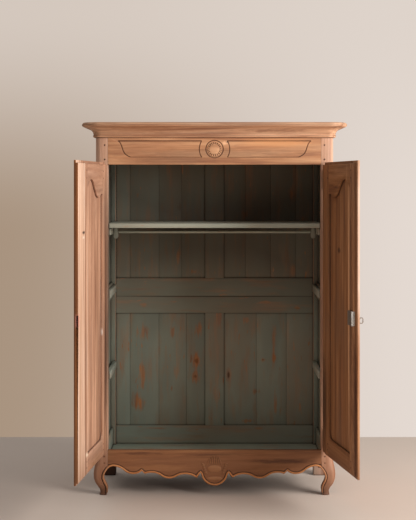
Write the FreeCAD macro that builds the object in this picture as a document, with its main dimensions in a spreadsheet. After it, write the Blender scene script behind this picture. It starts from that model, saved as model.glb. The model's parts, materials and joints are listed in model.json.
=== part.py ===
"""French provincial armoire with two lipped doors, as a parametric FreeCAD document.

Millimetres, +Z up, the front towards -Y. Geometry is drawn from the middle of the
carcass: x = 0 on its centre plane, y = 0 on the front of the posts, z = 0 on the
ground. Each piece's Placement then moves it so that the origin is the middle of the
ground that the armoire and its open doors cover. A door is drawn shut, about its own
hinge axis, and its Placement turns it open.
"""

import FreeCAD, Part
import math
import os
import re

import Sketcher

V = FreeCAD.Vector
UP = V(0, 0, 1)

doc = FreeCAD.newDocument("Armoire")

# ---------------------------------------------------------------- driving dimensions
SIZES = [
    ("centre_x", -14, "centre plane of the carcass from the origin"),
    ("front_y", 102, "front of the posts from the origin"),
    ("half_w", 681, "half the width over the posts"),
    ("depth", 510, "front of the posts to the back of the rear posts"),
    ("open_half", 610, "half the width of the front opening"),
    ("post_d", 60, "depth of a front post"),
    ("corner_r", 35, "rounded outer corner of a front post"),
    ("frame_top", 2049, "top of the posts and upper rails"),
    ("cornice_top", 2133, "top of the cornice"),
    ("foot_z", 200, "height at which a front post becomes a foot"),
    ("open_low", 261, "top of the apron"),
    ("open_high", 1894, "underside of the frieze"),
    ("rail_t", 30, "thickness of the front and back rails"),
    ("tenon_t", 10, "thickness of a frame tenon"),
    ("rear_in", 606, "inner face of a rear post from the centre"),
    ("rear_y", 444, "front face of a rear post"),
    ("side_in", 622, "inner face of the side rails"),
    ("side_out", 658, "outer face of the side rails"),
    ("side_tongue", 636, "inner face of a side panel"),
    ("groove_w", 8, "width of a panel groove"),
    ("groove_d", 10, "depth of a panel groove"),
    ("side_low", 150, "underside of the lowest side and back rails"),
    ("side_low_top", 290, "top of the lowest side rail"),
    ("side_mid", 1090, "underside of the middle side rail"),
    ("side_mid_top", 1180, "top of the middle side rail"),
    ("side_high", 1929, "underside of the top side and back rails"),
    ("back_y", 470, "front face of the back frame"),
    ("board_y", 479, "front face of the back boards"),
    ("board_t", 12, "thickness of the back boards"),
    ("back_low_top", 300, "top of the back's bottom rail"),
    ("back_mid", 991, "underside of the back's lower middle rail"),
    ("back_seam", 1093, "seam between the two middle rails"),
    ("back_mid_top", 1204, "top of the back's upper middle rail"),
    ("muntin_half", 57, "half the width of a back muntin"),
    ("floor_top", 189, "top of the floor boards"),
    ("floor_t", 18, "thickness of the floor boards"),
    ("shelf_y", 40, "front edge of the shelf"),
    ("shelf_low", 1530, "underside of the shelf"),
    ("shelf_t", 25, "thickness of the shelf"),
    ("cleat_in", 600, "inner face of a shelf cleat"),
    ("cleat_h", 42, "height of a shelf cleat"),
    ("cleat_mid_top", 1167, "top of the middle pair of cleats"),
    ("cleat_low_top", 700, "top of the lowest pair of cleats"),
    ("rod_r", 6.5, "radius of the hanging rod"),
    ("rod_y", 255, "hanging rod from the front of the posts"),
    ("rod_z", 1497, "height of the hanging rod"),
    ("top_board_t", 16, "thickness of the top boards"),
    ("hinge_x", 632, "hinge axis from the centre plane"),
    ("hinge_y", -7, "hinge axis from the front of the posts"),
    ("open_right", 101.7, "angle at which the right door stands open"),
    ("open_left", 96.6, "angle at which the left door stands open"),
    ("lip_front", -5.5, "outer face of a door from its hinge axis"),
    ("lip_back", 6.5, "back of the door's lip from its hinge axis"),
    ("core_back", 23.5, "inner face of a door from its hinge axis"),
    ("lip_edge", 8, "edge of the lip from the hinge axis"),
    ("core_edge", 24, "edge of the rebated part from the hinge axis"),
    ("stile_in", 135, "inner edge of a hinge stile from the axis"),
    ("meet_in", 500, "inner edge of a meeting stile from the axis"),
    ("lip_low", 246, "lower edge of the doors' lip"),
    ("lip_high", 1906, "upper edge of the doors' lip"),
    ("core_low", 264, "lower edge of the rebated part"),
    ("core_high", 1891, "upper edge of the rebated part"),
    ("door_rail", 362, "top of the doors' bottom rail"),
    ("door_tenon", 8, "thickness of a door tenon"),
    ("panel_y", 4, "outer face of the panel's tongue from the axis"),
    ("mid_lip", 52, "half the width of the false centre post"),
    ("mid_core", 77, "half its width at the rebates"),
    ("gap_lip", 1.5, "joint between the right door's lip and the centre post"),
    ("gap_core", 2.5, "joint between the rebated parts of the shut doors"),
    ("barrel_r", 6.5, "radius of a hinge knuckle"),
    ("pin_r", 3.5, "radius of a hinge pin"),
    ("pin_play", 0.06, "running clearance of a door knuckle on its pin"),
    ("knuckle_h", 40, "height of a hinge knuckle"),
    ("hinge_low", 334, "middle of the lower hinges"),
    ("hinge_high", 1810, "middle of the upper hinges"),
    ("peg_r", 4, "radius of a draw peg"),
    ("lock_z", 1080, "middle of the lock"),
    ("lock_h", 76, "height of the lock"),
    ("lock_len", 65.5, "length of the lock along the door"),
    ("lock_front", 12.5, "bottom of the lock's recess from the axis"),
    ("lock_back", 31.5, "cover of the lock from the axis"),
    ("key_t", 521, "key's axis from the hinge axis"),
    ("key_z", 1066, "height of the key"),
    ("key_r", 3, "radius of the key's shank"),
]

dims = doc.addObject("Spreadsheet::Sheet", "Dims")
for row, (alias, value, note) in enumerate(SIZES, 1):
    dims.set("A%d" % row, note)
    dims.set("B%d" % row, str(value))
    dims.setAlias("B%d" % row, alias)
doc.recompute()


def val(alias):
    """A driving dimension as a number."""
    return float(getattr(dims, alias))


def bound(text):
    """A size written with the sheet's aliases, as an expression of this document."""
    return re.sub(r"[a-z]+(_[a-z]+)+|depth", lambda m: "Dims." + m.group(0), str(text))


# ---------------------------------------------------------------- helpers
def carcass_home(obj):
    """Place a carcass piece."""
    obj.setExpression("Placement.Base.x", bound("centre_x"))
    obj.setExpression("Placement.Base.y", bound("front_y"))


def door_home(side):
    """Return the function that places a piece of the right (1) or left (-1) door."""

    def place(obj):
        sign = "" if side > 0 else "-"
        opened = "open_right" if side > 0 else "open_left"
        obj.setExpression("Placement.Base.x", bound("centre_x + %s1 * hinge_x" % sign))
        obj.setExpression("Placement.Base.y", bound("front_y + hinge_y"))
        obj.Placement = FreeCAD.Placement(obj.Placement.Base, FreeCAD.Rotation(UP, 1))
        obj.setExpression("Placement.Rotation.Angle", bound("%s1 * %s" % (sign, opened)))

    return place


class Piece:
    """One piece of the armoire: a body whose features are drawn for the right side.

    side = -1 mirrors every feature about x = 0 as it is drawn.
    """

    def __init__(self, label, home=carcass_home, side=1):
        self.body = doc.addObject("PartDesign::Body", label)
        self.body.Label = label
        self.label = label
        self.side = side
        self.count = 0
        home(self.body)
        PIECES.append(self.body)

    def name(self, kind):
        self.count += 1
        return "%s_%s%d" % (self.label, kind, self.count)

    def block(self, x, y, z, cut=False):
        """Add or cut a block between two limits on each axis."""
        kind = "PartDesign::SubtractiveBox" if cut else "PartDesign::AdditiveBox"
        box = self.body.newObject(kind, self.name("Cut" if cut else "Block"))
        low, high = x if self.side > 0 else ("-(%s)" % x[1], "-(%s)" % x[0])
        for size, base, (lo, hi) in (
            ("Length", "x", (low, high)),
            ("Width", "y", y),
            ("Height", "z", z),
        ):
            box.setExpression(size, bound("(%s) - (%s)" % (hi, lo)))
            box.setExpression("Placement.Base." + base, bound(lo))
        return box

    def rod(self, axis, at, span, radius, cut=False):
        """Add or cut a cylinder along an axis, at the other two coordinates."""
        kind = "PartDesign::SubtractiveCylinder" if cut else "PartDesign::AdditiveCylinder"
        rod = self.body.newObject(kind, self.name("Bore" if cut else "Rod"))
        rod.setExpression("Radius", bound(radius))
        lo, hi = span
        if axis == "x" and self.side < 0:
            lo, hi = "-(%s)" % hi, "-(%s)" % lo
        rod.setExpression("Height", bound("(%s) - (%s)" % (hi, lo)))
        turn = {"x": (V(0, 1, 0), 90), "y": (V(1, 0, 0), -90), "z": (UP, 0)}[axis]
        rod.Placement = FreeCAD.Placement(V(0, 0, 0), FreeCAD.Rotation(*turn))
        names = [a for a in "xyz" if a != axis]
        for letter, where in zip(names, at):
            if letter == "x" and self.side < 0:
                where = "-(%s)" % where
            rod.setExpression("Placement.Base." + letter, bound(where))
        rod.setExpression("Placement.Base." + axis, bound(lo))
        return rod

    def peg_hole(self, at, span, radius):
        """Cut an eight-sided hole, of the section of a whittled peg, along y."""
        hole = self.body.newObject("PartDesign::SubtractivePrism", self.name("Hole"))
        hole.Polygon = 8
        hole.setExpression("Circumradius", bound(radius))
        lo, hi = span
        hole.setExpression("Height", bound("(%s) - (%s)" % (hi, lo)))
        hole.Placement = FreeCAD.Placement(V(0, 0, 0), FreeCAD.Rotation(V(1, 0, 0), -90))
        hole.setExpression("Placement.Base.x", bound("%d * (%s)" % (self.side, at[0])))
        hole.setExpression("Placement.Base.y", bound(lo))
        hole.setExpression("Placement.Base.z", bound(at[1]))
        return hole

    def sketch(self, plane, offset, path, axis=None):
        """Draw a closed path on one of the body's planes.

        A path is a start point and then steps: a point ends a straight line, a pair
        of points is an arc through the first, and a longer list is a spline.
        """
        sk = self.body.newObject("Sketcher::SketchObject", self.name("Sketch"))
        role = plane + "_Plane"
        origin = [o for o in self.body.Origin.OriginFeatures if o.Role == role][0]
        sk.AttachmentSupport = [(origin, "")]
        sk.MapMode = "FlatFace"
        sign = "-" if plane == "XZ" else ""
        sk.setExpression("AttachmentOffset.Base.z", bound("%s(%s)" % (sign, offset)))
        flip = self.side if plane != "YZ" else 1
        here = V(flip * path[0][0], path[0][1], 0)
        start = here
        for step in path[1:]:
            if not isinstance(step, list):
                points = [V(flip * step[0], step[1], 0)]
            else:
                points = [V(flip * p[0], p[1], 0) for p in step]
            if len(points) == 1:
                edge = Part.LineSegment(here, points[0])
            elif len(points) == 2:
                edge = Part.Arc(here, points[0], points[1])
            else:
                edge = Part.BSplineCurve()
                edge.interpolate([here] + points)
            if (here - points[-1]).Length > 1e-6:
                sk.addGeometry(edge, False)
            here = points[-1]
        if (here - start).Length > 1e-6:
            sk.addGeometry(Part.LineSegment(here, start), False)
        if axis is not None:
            line = Part.LineSegment(V(flip * axis, 0, 0), V(flip * axis, 100, 0))
            sk.addGeometry(line, True)
        return sk

    def extrude(self, plane, path, lo, hi, cut=False):
        """Pad or pocket a path drawn on a plane, from lo to hi along its axis."""
        if plane == "YZ" and self.side < 0:
            lo, hi = "-(%s)" % hi, "-(%s)" % lo
        sk = self.sketch(plane, lo, path)
        kind = "Pocket" if cut else "Pad"
        feature = self.body.newObject("PartDesign::" + kind, self.name(kind))
        feature.Profile = sk
        feature.setExpression("Length", bound("(%s) - (%s)" % (hi, lo)))
        feature.Reversed = (plane == "XZ") != cut
        return feature

    def loft(self, plane, sections, ruled=False):
        """Loft through (offset, path) sections."""
        sketches = [self.sketch(plane, offset, path) for offset, path in sections]
        feature = self.body.newObject("PartDesign::AdditiveLoft", self.name("Loft"))
        feature.Profile = sketches[0]
        feature.Sections = sketches[1:]
        feature.Ruled = ruled
        return feature

    def turn(self, plane, offset, path, axis, angle, outward):
        """Revolve a path about an upright axis, on the side where it adds material."""
        before = self.body.Shape.Volume
        sk = self.sketch(plane, offset, path, axis)
        feature = self.body.newObject("PartDesign::Revolution", self.name("Turn"))
        feature.Profile = sk
        feature.ReferenceAxis = (sk, ["Axis0"])
        feature.Angle = angle
        feature.Midplane = False
        doc.recompute()
        if self.body.Shape.Volume < before + outward:
            feature.Reversed = True
            doc.recompute()
        return feature


PIECES = []


def group(label, solids, home=carcass_home):
    """A node of like solids, such as boards or pegs, in one feature."""
    feature = doc.addObject("Part::Feature", label)
    feature.Label = label
    feature.Shape = Part.makeCompound(solids)
    home(feature)
    PIECES.append(feature)
    return feature


def peg(x, z, front, length, radius):
    """An eight-sided whittled peg along y."""
    turns = [i * math.pi / 4 for i in range(9)]
    rim = [V(x + radius * math.cos(a), front, z + radius * math.sin(a)) for a in turns]
    return Part.Face(Part.makePolygon(rim)).extrude(V(0, length, 0))


def arcs(points):
    """Path steps for a run of arcs, from (middle, end) points after a start."""
    return [[points[i], points[i + 1]] for i in range(1, len(points), 2)]


def cuboid(x, y, z):
    """A solid block between two limits on each axis."""
    return Part.makeBox(x[1] - x[0], y[1] - y[0], z[1] - z[0], V(x[0], y[0], z[0]))


def mirrored(solids):
    """Solids and their mirror images about the centre plane."""
    return solids + [s.mirror(V(0, 0, 0), V(1, 0, 0)) for s in solids]


# ---------------------------------------------------------------- front posts
HALF, OPEN, CORNER = val("half_w"), val("open_half"), val("corner_r")
POST_D, TOP = val("post_d"), val("frame_top")


def post_section(inner, outer, front, rear, r):
    """A post's plan: square but for its rounded outer front corner."""
    bend = r * (1 - math.sqrt(0.5))
    return [
        (inner, front),
        (outer - r, front),
        [(outer - bend, front + bend), (outer, front + r)],
        (outer, rear),
        (inner, rear),
    ]


# Cabriole foot: the knee swells outwards and forwards, the ankle comes back under it.
FOOT = [
    ("foot_z", 610, 681, 0, 60, 35),
    (187, 610.5, 682.5, -1.5, 60, 34.5),
    (172, 612, 686, -4, 59, 33),
    (150, 622, 690, -8, 55, 30),
    (128, 632, 692, -10, 50, 28),
    (100, 634, 690, -9, 50, 26),
    (66, 622, 679, 0, 57, 24),
    (42, 613, 664, 12, 62, 22),
    (20, 614, 657, 19, 62, 20),
    (0, 619, 661, 17, 60, 20),
]
SIDE_RAILS = [
    ("side_low", "side_low_top"),
    ("side_mid", "side_mid_top"),
    ("side_high", "frame_top"),
]
SIDE_TENON = ("side_tongue - 1", "side_tongue + groove_w + 1")
PEG_SPOTS = [(628, 2005), (628, 1923), (630, 226), (630, 188)]

for name, side in (("left", -1), ("right", 1)):
    post = Piece("front_%s_post" % name, side=side)
    post.extrude("XY", post_section(OPEN, HALF, 0, POST_D, CORNER), "foot_z", "frame_top")
    post.loft("XY", [(z, post_section(*plan)) for z, *plan in FOOT])
    # the knee is planed flush where the side's bottom rail meets it
    post.block(("open_half", "half_w + 5"), ("post_d", "post_d + 5"),
               ("foot_z - 35", "foot_z"), cut=True)
    # mortises for the frieze and the apron, then for the side rails
    post.block(("open_half", "open_half + 40"), ("10", "10 + tenon_t"),
               ("open_high + 20", "frame_top - 20"), cut=True)
    post.block(("open_half", "open_half + 35"), ("10", "10 + tenon_t"),
               ("175", "open_low - 15"), cut=True)
    for low, high in SIDE_RAILS:
        post.block(SIDE_TENON, ("post_d - 32", "post_d"),
                   (low + " + 15", high + " - 15"), cut=True)
    post.block(("side_tongue", "side_tongue + groove_w"), ("post_d - groove_d", "post_d"),
               ("side_low_top - 16", "side_high + 16"), cut=True)
    for x, z in PEG_SPOTS:
        post.peg_hole((x, z), (-12, 10), "peg_r")
    # slots for the wings of the fixed hinge knuckles
    for middle in ("hinge_low", "hinge_high"):
        post.block(("hinge_x - 1.25", "hinge_x + 1.25"), (0, 20),
                   (middle + " - 35", middle + " - 5"), cut=True)

# ---------------------------------------------------------------- frieze and apron
frieze = Piece("frieze_rail")
frieze.block(("-open_half", "open_half"), (0, "rail_t"), ("open_high", "frame_top"))
for sign in (1, -1):
    frieze.side = sign
    frieze.block(("open_half", "open_half + 40"), ("10", "10 + tenon_t"),
                 ("open_high + 20", "frame_top - 20"))
frieze.side = 1

# Right half of the apron's scalloped lower edge: arcs from the end to the cusp at 410,
# then arcs to the central lobe. The left half is its mirror image.
APRON_END = [(598, 165), (585.5, 169.5), (573, 170), (543, 161.5), (517, 145),
             (468.5, 125), (418, 140)]
APRON_WAVE = [(398, 126), (349, 132), (303.5, 114.5), (262, 100), (219, 111), (198, 120),
              (175, 124), (137, 120), (103, 103.5)]
LOBE_R, LOBE_Z = 77, 137


def flipped(points):
    """Points mirrored about the centre line, in reverse order."""
    return [(-x, z) for x, z in reversed(points)]


def apron_path():
    """The apron's outline, with cusps where its curves meet."""
    top = val("open_low")
    path = [(-OPEN, top), (OPEN, top), (OPEN, 157), APRON_END[0]] + arcs(APRON_END)
    path += [(410, 152), APRON_WAVE[0]] + arcs(APRON_WAVE)
    path += [[(88, 120), (80, 149)], (LOBE_R, LOBE_Z)]
    path += [[(0, LOBE_Z - LOBE_R), (-LOBE_R, LOBE_Z)], (-80, 149), [(-88, 120), (-103, 103.5)]]
    path += arcs(flipped(APRON_WAVE)) + [(-410, 152), flipped(APRON_END)[0]]
    path += arcs(flipped(APRON_END)) + [(-OPEN, 157)]
    return path


apron = Piece("apron_rail")
apron.extrude("XZ", apron_path(), 0, "rail_t")
for sign in (1, -1):
    apron.side = sign
    apron.block(("open_half", "open_half + 35"), ("10", "10 + tenon_t"),
                ("175", "open_low - 15"))
apron.side = 1

# ---------------------------------------------------------------- cornice
# Moulding in (projection from the posts, height): bead, hollow, fillet and rounded nose.
MOULDING = [
    (-18, 0),
    (12, 0),
    (16, 4),
    (16, 12),
    (13, 16),
    (16, 27),
    (24, 39),
    (40, 51),
    (66, 60),
    (71, 60),
    (79, 66),
    (80, 74),
    (74, 82),
    (71, 84),
    (-30, 84),
    (-30, 16),
    (-18, 16),
]


def moulding(flip, base):
    """The cornice's section, running outwards from a post's face at base."""

    def spot(p):
        return (base + flip * p[0], TOP + p[1])

    return [[spot(p) for p in step] if isinstance(step, list) else spot(step)
            for step in MOULDING]


front_cornice = Piece("cornice_front")
front_cornice.extrude("YZ", moulding(-1, 0), "corner_r - half_w", "half_w - corner_r")
doc.recompute()
front_cornice.turn("YZ", "half_w - corner_r", moulding(-1, 0), CORNER, 45, 1000)
front_cornice.turn("YZ", "corner_r - half_w", moulding(-1, 0), CORNER, 45, 1000)
for name, side in (("left", -1), ("right", 1)):
    piece = Piece("cornice_%s" % name, side=side)
    piece.extrude("XZ", moulding(1, HALF), "corner_r", "depth")
    doc.recompute()
    piece.turn("XZ", "corner_r", moulding(1, HALF), HALF - CORNER, 45, 1000)

top_z = (TOP, TOP + val("top_board_t"))
top_half = HALF - 18
top_cuts = [18, 142, 265, 387, 510]
top_boards = [cuboid((-top_half, top_half), (lo, hi - 1), top_z)
              for lo, hi in zip(top_cuts, top_cuts[1:])]
# the front board's corners are rounded to fit the cornice's
corners = [e for e in top_boards[0].Edges
           if e.Length < 17 and abs(e.CenterOfMass.y - top_cuts[0]) < 1 and
           abs(e.CenterOfMass.z - top_z[0] - val("top_board_t") / 2) < 1]
top_boards[0] = top_boards[0].makeFillet(17.5, corners)
group("top_boards", top_boards)

# ---------------------------------------------------------------- rear posts and sides
for name, side in (("left", -1), ("right", 1)):
    post = Piece("rear_%s_post" % name, side=side)
    post.block(("rear_in", "half_w"), ("rear_y", "depth"), (0, "frame_top"))
    for low, high in SIDE_RAILS:
        post.block(SIDE_TENON, ("rear_y", "rear_y + 30"),
                   (low + " + 15", high + " - 15"), cut=True)
    post.block(("side_tongue", "side_tongue + groove_w"), ("rear_y", "rear_y + groove_d"),
               ("side_low_top - 16", "side_high + 16"), cut=True)
    for low, high in (("side_low", "back_low_top"), ("back_mid", "back_seam"),
                      ("back_seam", "back_mid_top"), ("side_high", "frame_top")):
        post.block(("rear_in", "rear_in + 30"), ("back_y + 10", "back_y + 10 + tenon_t"),
                   (low + " + 15", high + " - 15"), cut=True)
    post.block(("rear_in", "rear_in + groove_d"), ("board_y", "board_y + board_t"),
               ("back_low_top - 16", "side_high + 16"), cut=True)

    for part, (low, high) in zip(("bottom", "middle", "top"), SIDE_RAILS):
        rail = Piece("%s_%s_rail" % (name, part), side=side)
        rail.block(("side_in", "side_out"), ("post_d", "rear_y"), (low, high))
        rail.block(SIDE_TENON, ("post_d - 32", "post_d"), (low + " + 15", high + " - 15"))
        rail.block(SIDE_TENON, ("rear_y", "rear_y + 30"), (low + " + 15", high + " - 15"))
        if part != "bottom":
            rail.block(("side_tongue", "side_tongue + groove_w"), ("post_d", "rear_y"),
                       (low, low + " + groove_d"), cut=True)
        if part != "top":
            rail.block(("side_tongue", "side_tongue + groove_w"), ("post_d", "rear_y"),
                       (high + " - groove_d", high), cut=True)

    # Raised and fielded panel: a tongue all round, and a bevelled field outside.
    for part, low, high in (("lower", "side_low_top", "side_mid"),
                            ("upper", "side_mid_top", "side_high")):
        panel = Piece("%s_%s_panel" % (name, part), side=side)
        panel.block(("side_tongue", "side_tongue + groove_w"),
                    ("post_d - groove_d + 1", "rear_y + groove_d - 1"),
                    (low + " - groove_d + 1", high + " + groove_d - 1"))

        def field(inset):
            y0, y1 = POST_D + inset, val("rear_y") - inset
            z0, z1 = val(low) + inset, val(high) - inset
            return [(y0, z0), (y1, z0), (y1, z1), (y0, z1)]

        face = val("side_tongue") + val("groove_w")
        panel.loft("YZ", [(side * face, field(12)), (side * (face + 7), field(42))],
                   ruled=True)

# ---------------------------------------------------------------- back
BACK_TENON = ("back_y + 10", "back_y + 10 + tenon_t")
BACK_RAILS = [
    ("back_bottom_rail", "side_low", "back_low_top", "top"),
    ("back_middle_rail_lower", "back_mid", "back_seam", "low"),
    ("back_middle_rail_upper", "back_seam", "back_mid_top", "top"),
    ("back_top_rail", "side_high", "frame_top", "low"),
]
for name, low, high, edge in BACK_RAILS:
    rail = Piece(name)
    rail.block(("-rear_in", "rear_in"), ("back_y", "back_y + rail_t"), (low, high))
    for sign in (1, -1):
        rail.side = sign
        rail.block(("rear_in", "rear_in + 30"), BACK_TENON, (low + " + 15", high + " - 15"))
    rail.side = 1
    groove = (high + " - groove_d", high) if edge == "top" else (low, low + " + groove_d")
    rail.block(("-rear_in", "rear_in"), ("board_y", "board_y + board_t"), groove, cut=True)
    deep = (high + " - 25", high) if edge == "top" else (low, low + " + 25")
    rail.block(("-muntin_half + 15", "muntin_half - 15"), BACK_TENON, deep, cut=True)

for name, low, high in (("back_muntin_lower", "back_low_top", "back_mid"),
                        ("back_muntin_upper", "back_mid_top", "side_high")):
    muntin = Piece(name)
    muntin.block(("-muntin_half", "muntin_half"), ("back_y", "back_y + rail_t"), (low, high))
    muntin.block(("-muntin_half + 15", "muntin_half - 15"), BACK_TENON,
                 (low + " - 25", high + " + 25"))
    for sign in (1, -1):
        muntin.side = sign
        muntin.block(("muntin_half - groove_d", "muntin_half"),
                     ("board_y", "board_y + board_t"), (low, high), cut=True)
    muntin.side = 1

GROOVE = val("groove_d") - 1
BOARD_Y = (val("board_y"), val("board_y") + val("board_t"))
edge_in, edge_out = val("muntin_half") - GROOVE, val("rear_in") + GROOVE
LAP = 8
# joints between the boards, from the middle of the back outwards
JOINTS = {
    "lower_left": (-173, -342, -519),
    "lower_right": (257, 442),
    "upper_left": (-202, -341, -519),
    "upper_right": (190, 345, 500),
}


def lapped_boards(xs, sign, span):
    """Upright boards between joints, each with its rear half behind its outer neighbour."""
    half, boards = sum(BOARD_Y) / 2, []
    for a, b in zip(xs, xs[1:]):
        board = cuboid(sorted((a + sign * 0.5, b - sign * 0.5)), BOARD_Y, span)
        if b != xs[-1]:
            tongue = cuboid(sorted((b - sign, b + sign * LAP)), (half + 0.2, BOARD_Y[1]), span)
            board = board.fuse(tongue).removeSplitter()
        if a != xs[0]:
            rebate = cuboid(sorted((a, a + sign * (LAP + 1))), (half, BOARD_Y[1] + 1), span)
            board = board.cut(rebate)
        boards.append(board.Solids[0])
    return boards


for name, joints in JOINTS.items():
    half, hand = name.split("_")
    low, high = ("back_low_top", "back_mid") if half == "lower" else ("back_mid_top", "side_high")
    span = (val(low) - GROOVE, val(high) + GROOVE)
    sign = -1 if hand == "left" else 1
    xs = [sign * edge_in] + list(joints) + [sign * edge_out]
    group("back_boards_%s" % name, lapped_boards(xs, sign, span))

# ---------------------------------------------------------------- floor, shelf and rod
REAR_Y, REAR_IN, BACK_Y = val("rear_y"), val("rear_in"), val("back_y")


def notched(y, z):
    """A board across the inside, cut round the posts."""
    board = cuboid((-val("side_in") + 2, val("side_in") - 2), y, z)
    posts = [cuboid((OPEN - 2, HALF), (-1, POST_D + 1), (0, TOP)),
             cuboid((REAR_IN - 2, HALF), (REAR_Y - 1, BACK_Y + 1), (0, TOP))]
    return board.cut(Part.makeCompound(mirrored(posts))).Solids[0]


floor_z = (val("floor_top") - val("floor_t"), val("floor_top"))
floor_cuts = [val("rail_t"), 176, 323, BACK_Y]
group("floor_boards", [notched((lo, hi - 1), floor_z)
                       for lo, hi in zip(floor_cuts, floor_cuts[1:])])
inner, side_in = val("cleat_in"), val("side_in")
group("floor_bearers", mirrored([cuboid((inner - 2, side_in), (POST_D, REAR_Y),
                                        (floor_z[0] - 25, floor_z[0]))]))

shelf_y = val("shelf_y")
shelf = doc.addObject("Part::Feature", "shelf")
shelf.Shape = notched((shelf_y, BACK_Y - 1), (val("shelf_low"), val("shelf_low") + val("shelf_t")))
shelf.Label = "shelf"
carcass_home(shelf)
PIECES.append(shelf)

cleats = []
for top in (val("shelf_low"), val("cleat_mid_top"), val("cleat_low_top")):
    cleats.append(cuboid((inner, side_in), (POST_D, REAR_Y), (top - val("cleat_h"), top)))
group("shelf_cleats", mirrored(cleats))

rod = doc.addObject("Part::Cylinder", "hanging_rod")
rod.Label = "hanging_rod"
rod.setExpression("Radius", bound("rod_r"))
rod.setExpression("Height", bound("2 * (cleat_in - 10)"))
rod.Placement = FreeCAD.Placement(V(0, 0, 0), FreeCAD.Rotation(V(0, 1, 0), 90))
rod.setExpression("Placement.Base.x", bound("centre_x - cleat_in + 10"))
rod.setExpression("Placement.Base.y", bound("front_y + rod_y"))
rod.setExpression("Placement.Base.z", bound("rod_z"))
PIECES.append(rod)

# Teardrop bracket under each end of the shelf, bored for the rod.
for name, side in (("left", -1), ("right", 1)):
    bracket = Piece("rod_bracket_%s" % name, side=side)
    drop = [(578, 1530), (578, 1519), [(573, 1496), (573, 1472)],
            [(586, 1459), (599, 1472)], (599.5, 1530)]
    bracket.extrude("XZ", drop, "rod_y - 13", "rod_y + 13")
    bracket.rod("x", ("rod_y", "rod_z + 0.4"), (565, 591), "rod_r + 0.4", cut=True)

group("frame_pegs", mirrored([peg(x, z, -1, 11, val("peg_r")) for x, z in PEG_SPOTS]))

# ---------------------------------------------------------------- doors
STILE, MEET, RAIL = val("stile_in"), val("meet_in"), val("door_rail")
CORNER_R = 45
# Lower edge of a door's top rail, as a run of arcs in (distance from the hinge axis,
# height), from the hinge stile to the meeting stile.
CREST = [(135, 1724), (155, 1729), (174.5, 1723.5), (235, 1710.5), (291, 1735.5),
         (318, 1760), (345.5, 1785), (399, 1808), (455, 1793.5), (478, 1777.5), (500, 1762)]


def crest(grow):
    """The curved edge between the top rail and the panel, raised by grow."""
    middle, stretch = (STILE + MEET) / 2, 1 + 2 * grow / (MEET - STILE)
    return [(middle + (t - middle) * stretch, z + grow) for t, z in CREST]


def round_corner(grow):
    """The rounded lower corner beside the hinge stile: its two ends and its middle."""
    t, z, r = STILE + CORNER_R, RAIL + CORNER_R, CORNER_R + grow
    return (t - r, z), (t - r * math.sqrt(0.5), z - r * math.sqrt(0.5)), (t, z - r)


def panel_path(side, grow):
    """The panel's outline, grown into its grooves or shrunk to its raised field."""
    start, bend, end = round_corner(grow)
    back = list(reversed(crest(grow)))
    path = [start, [bend, end], (MEET + grow, end[1]), back[0]] + arcs(back)
    return [[(-t, z) for t, z in step] if isinstance(step, list) else (-step[0], step[1])
            for step in path]


def rail_path(crested, edge):
    """Outline of a door rail, from its shaped edge to its straight one."""
    if crested:
        path = [(STILE, edge), CREST[0]] + arcs(CREST) + [(MEET, edge)]
    else:
        start, bend, end = round_corner(0)
        path = [(STILE, edge), start, [bend, end], (MEET, RAIL), (MEET, edge)]
    return [[(-t, z) for t, z in step] if isinstance(step, list) else (-step[0], step[1])
            for step in path]


def span(near, far):
    """Limits along a shut right door, from distances to its hinge axis."""
    return ("-(%s)" % far, "-(%s)" % near)


LIP, CORE = ("lip_front", "lip_back"), ("lip_back", "core_back")
TENON = ("panel_y + 1", "panel_y + 1 + door_tenon")
TONGUE = ("panel_y", "panel_y + groove_w")
TOP_TENON, LOW_TENON = ("1796", "1872"), ("280", "345")
DOOR_PEGS = [(t, z) for t in (118, 517) for z in (1815, 1855, 296, 328)]

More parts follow.
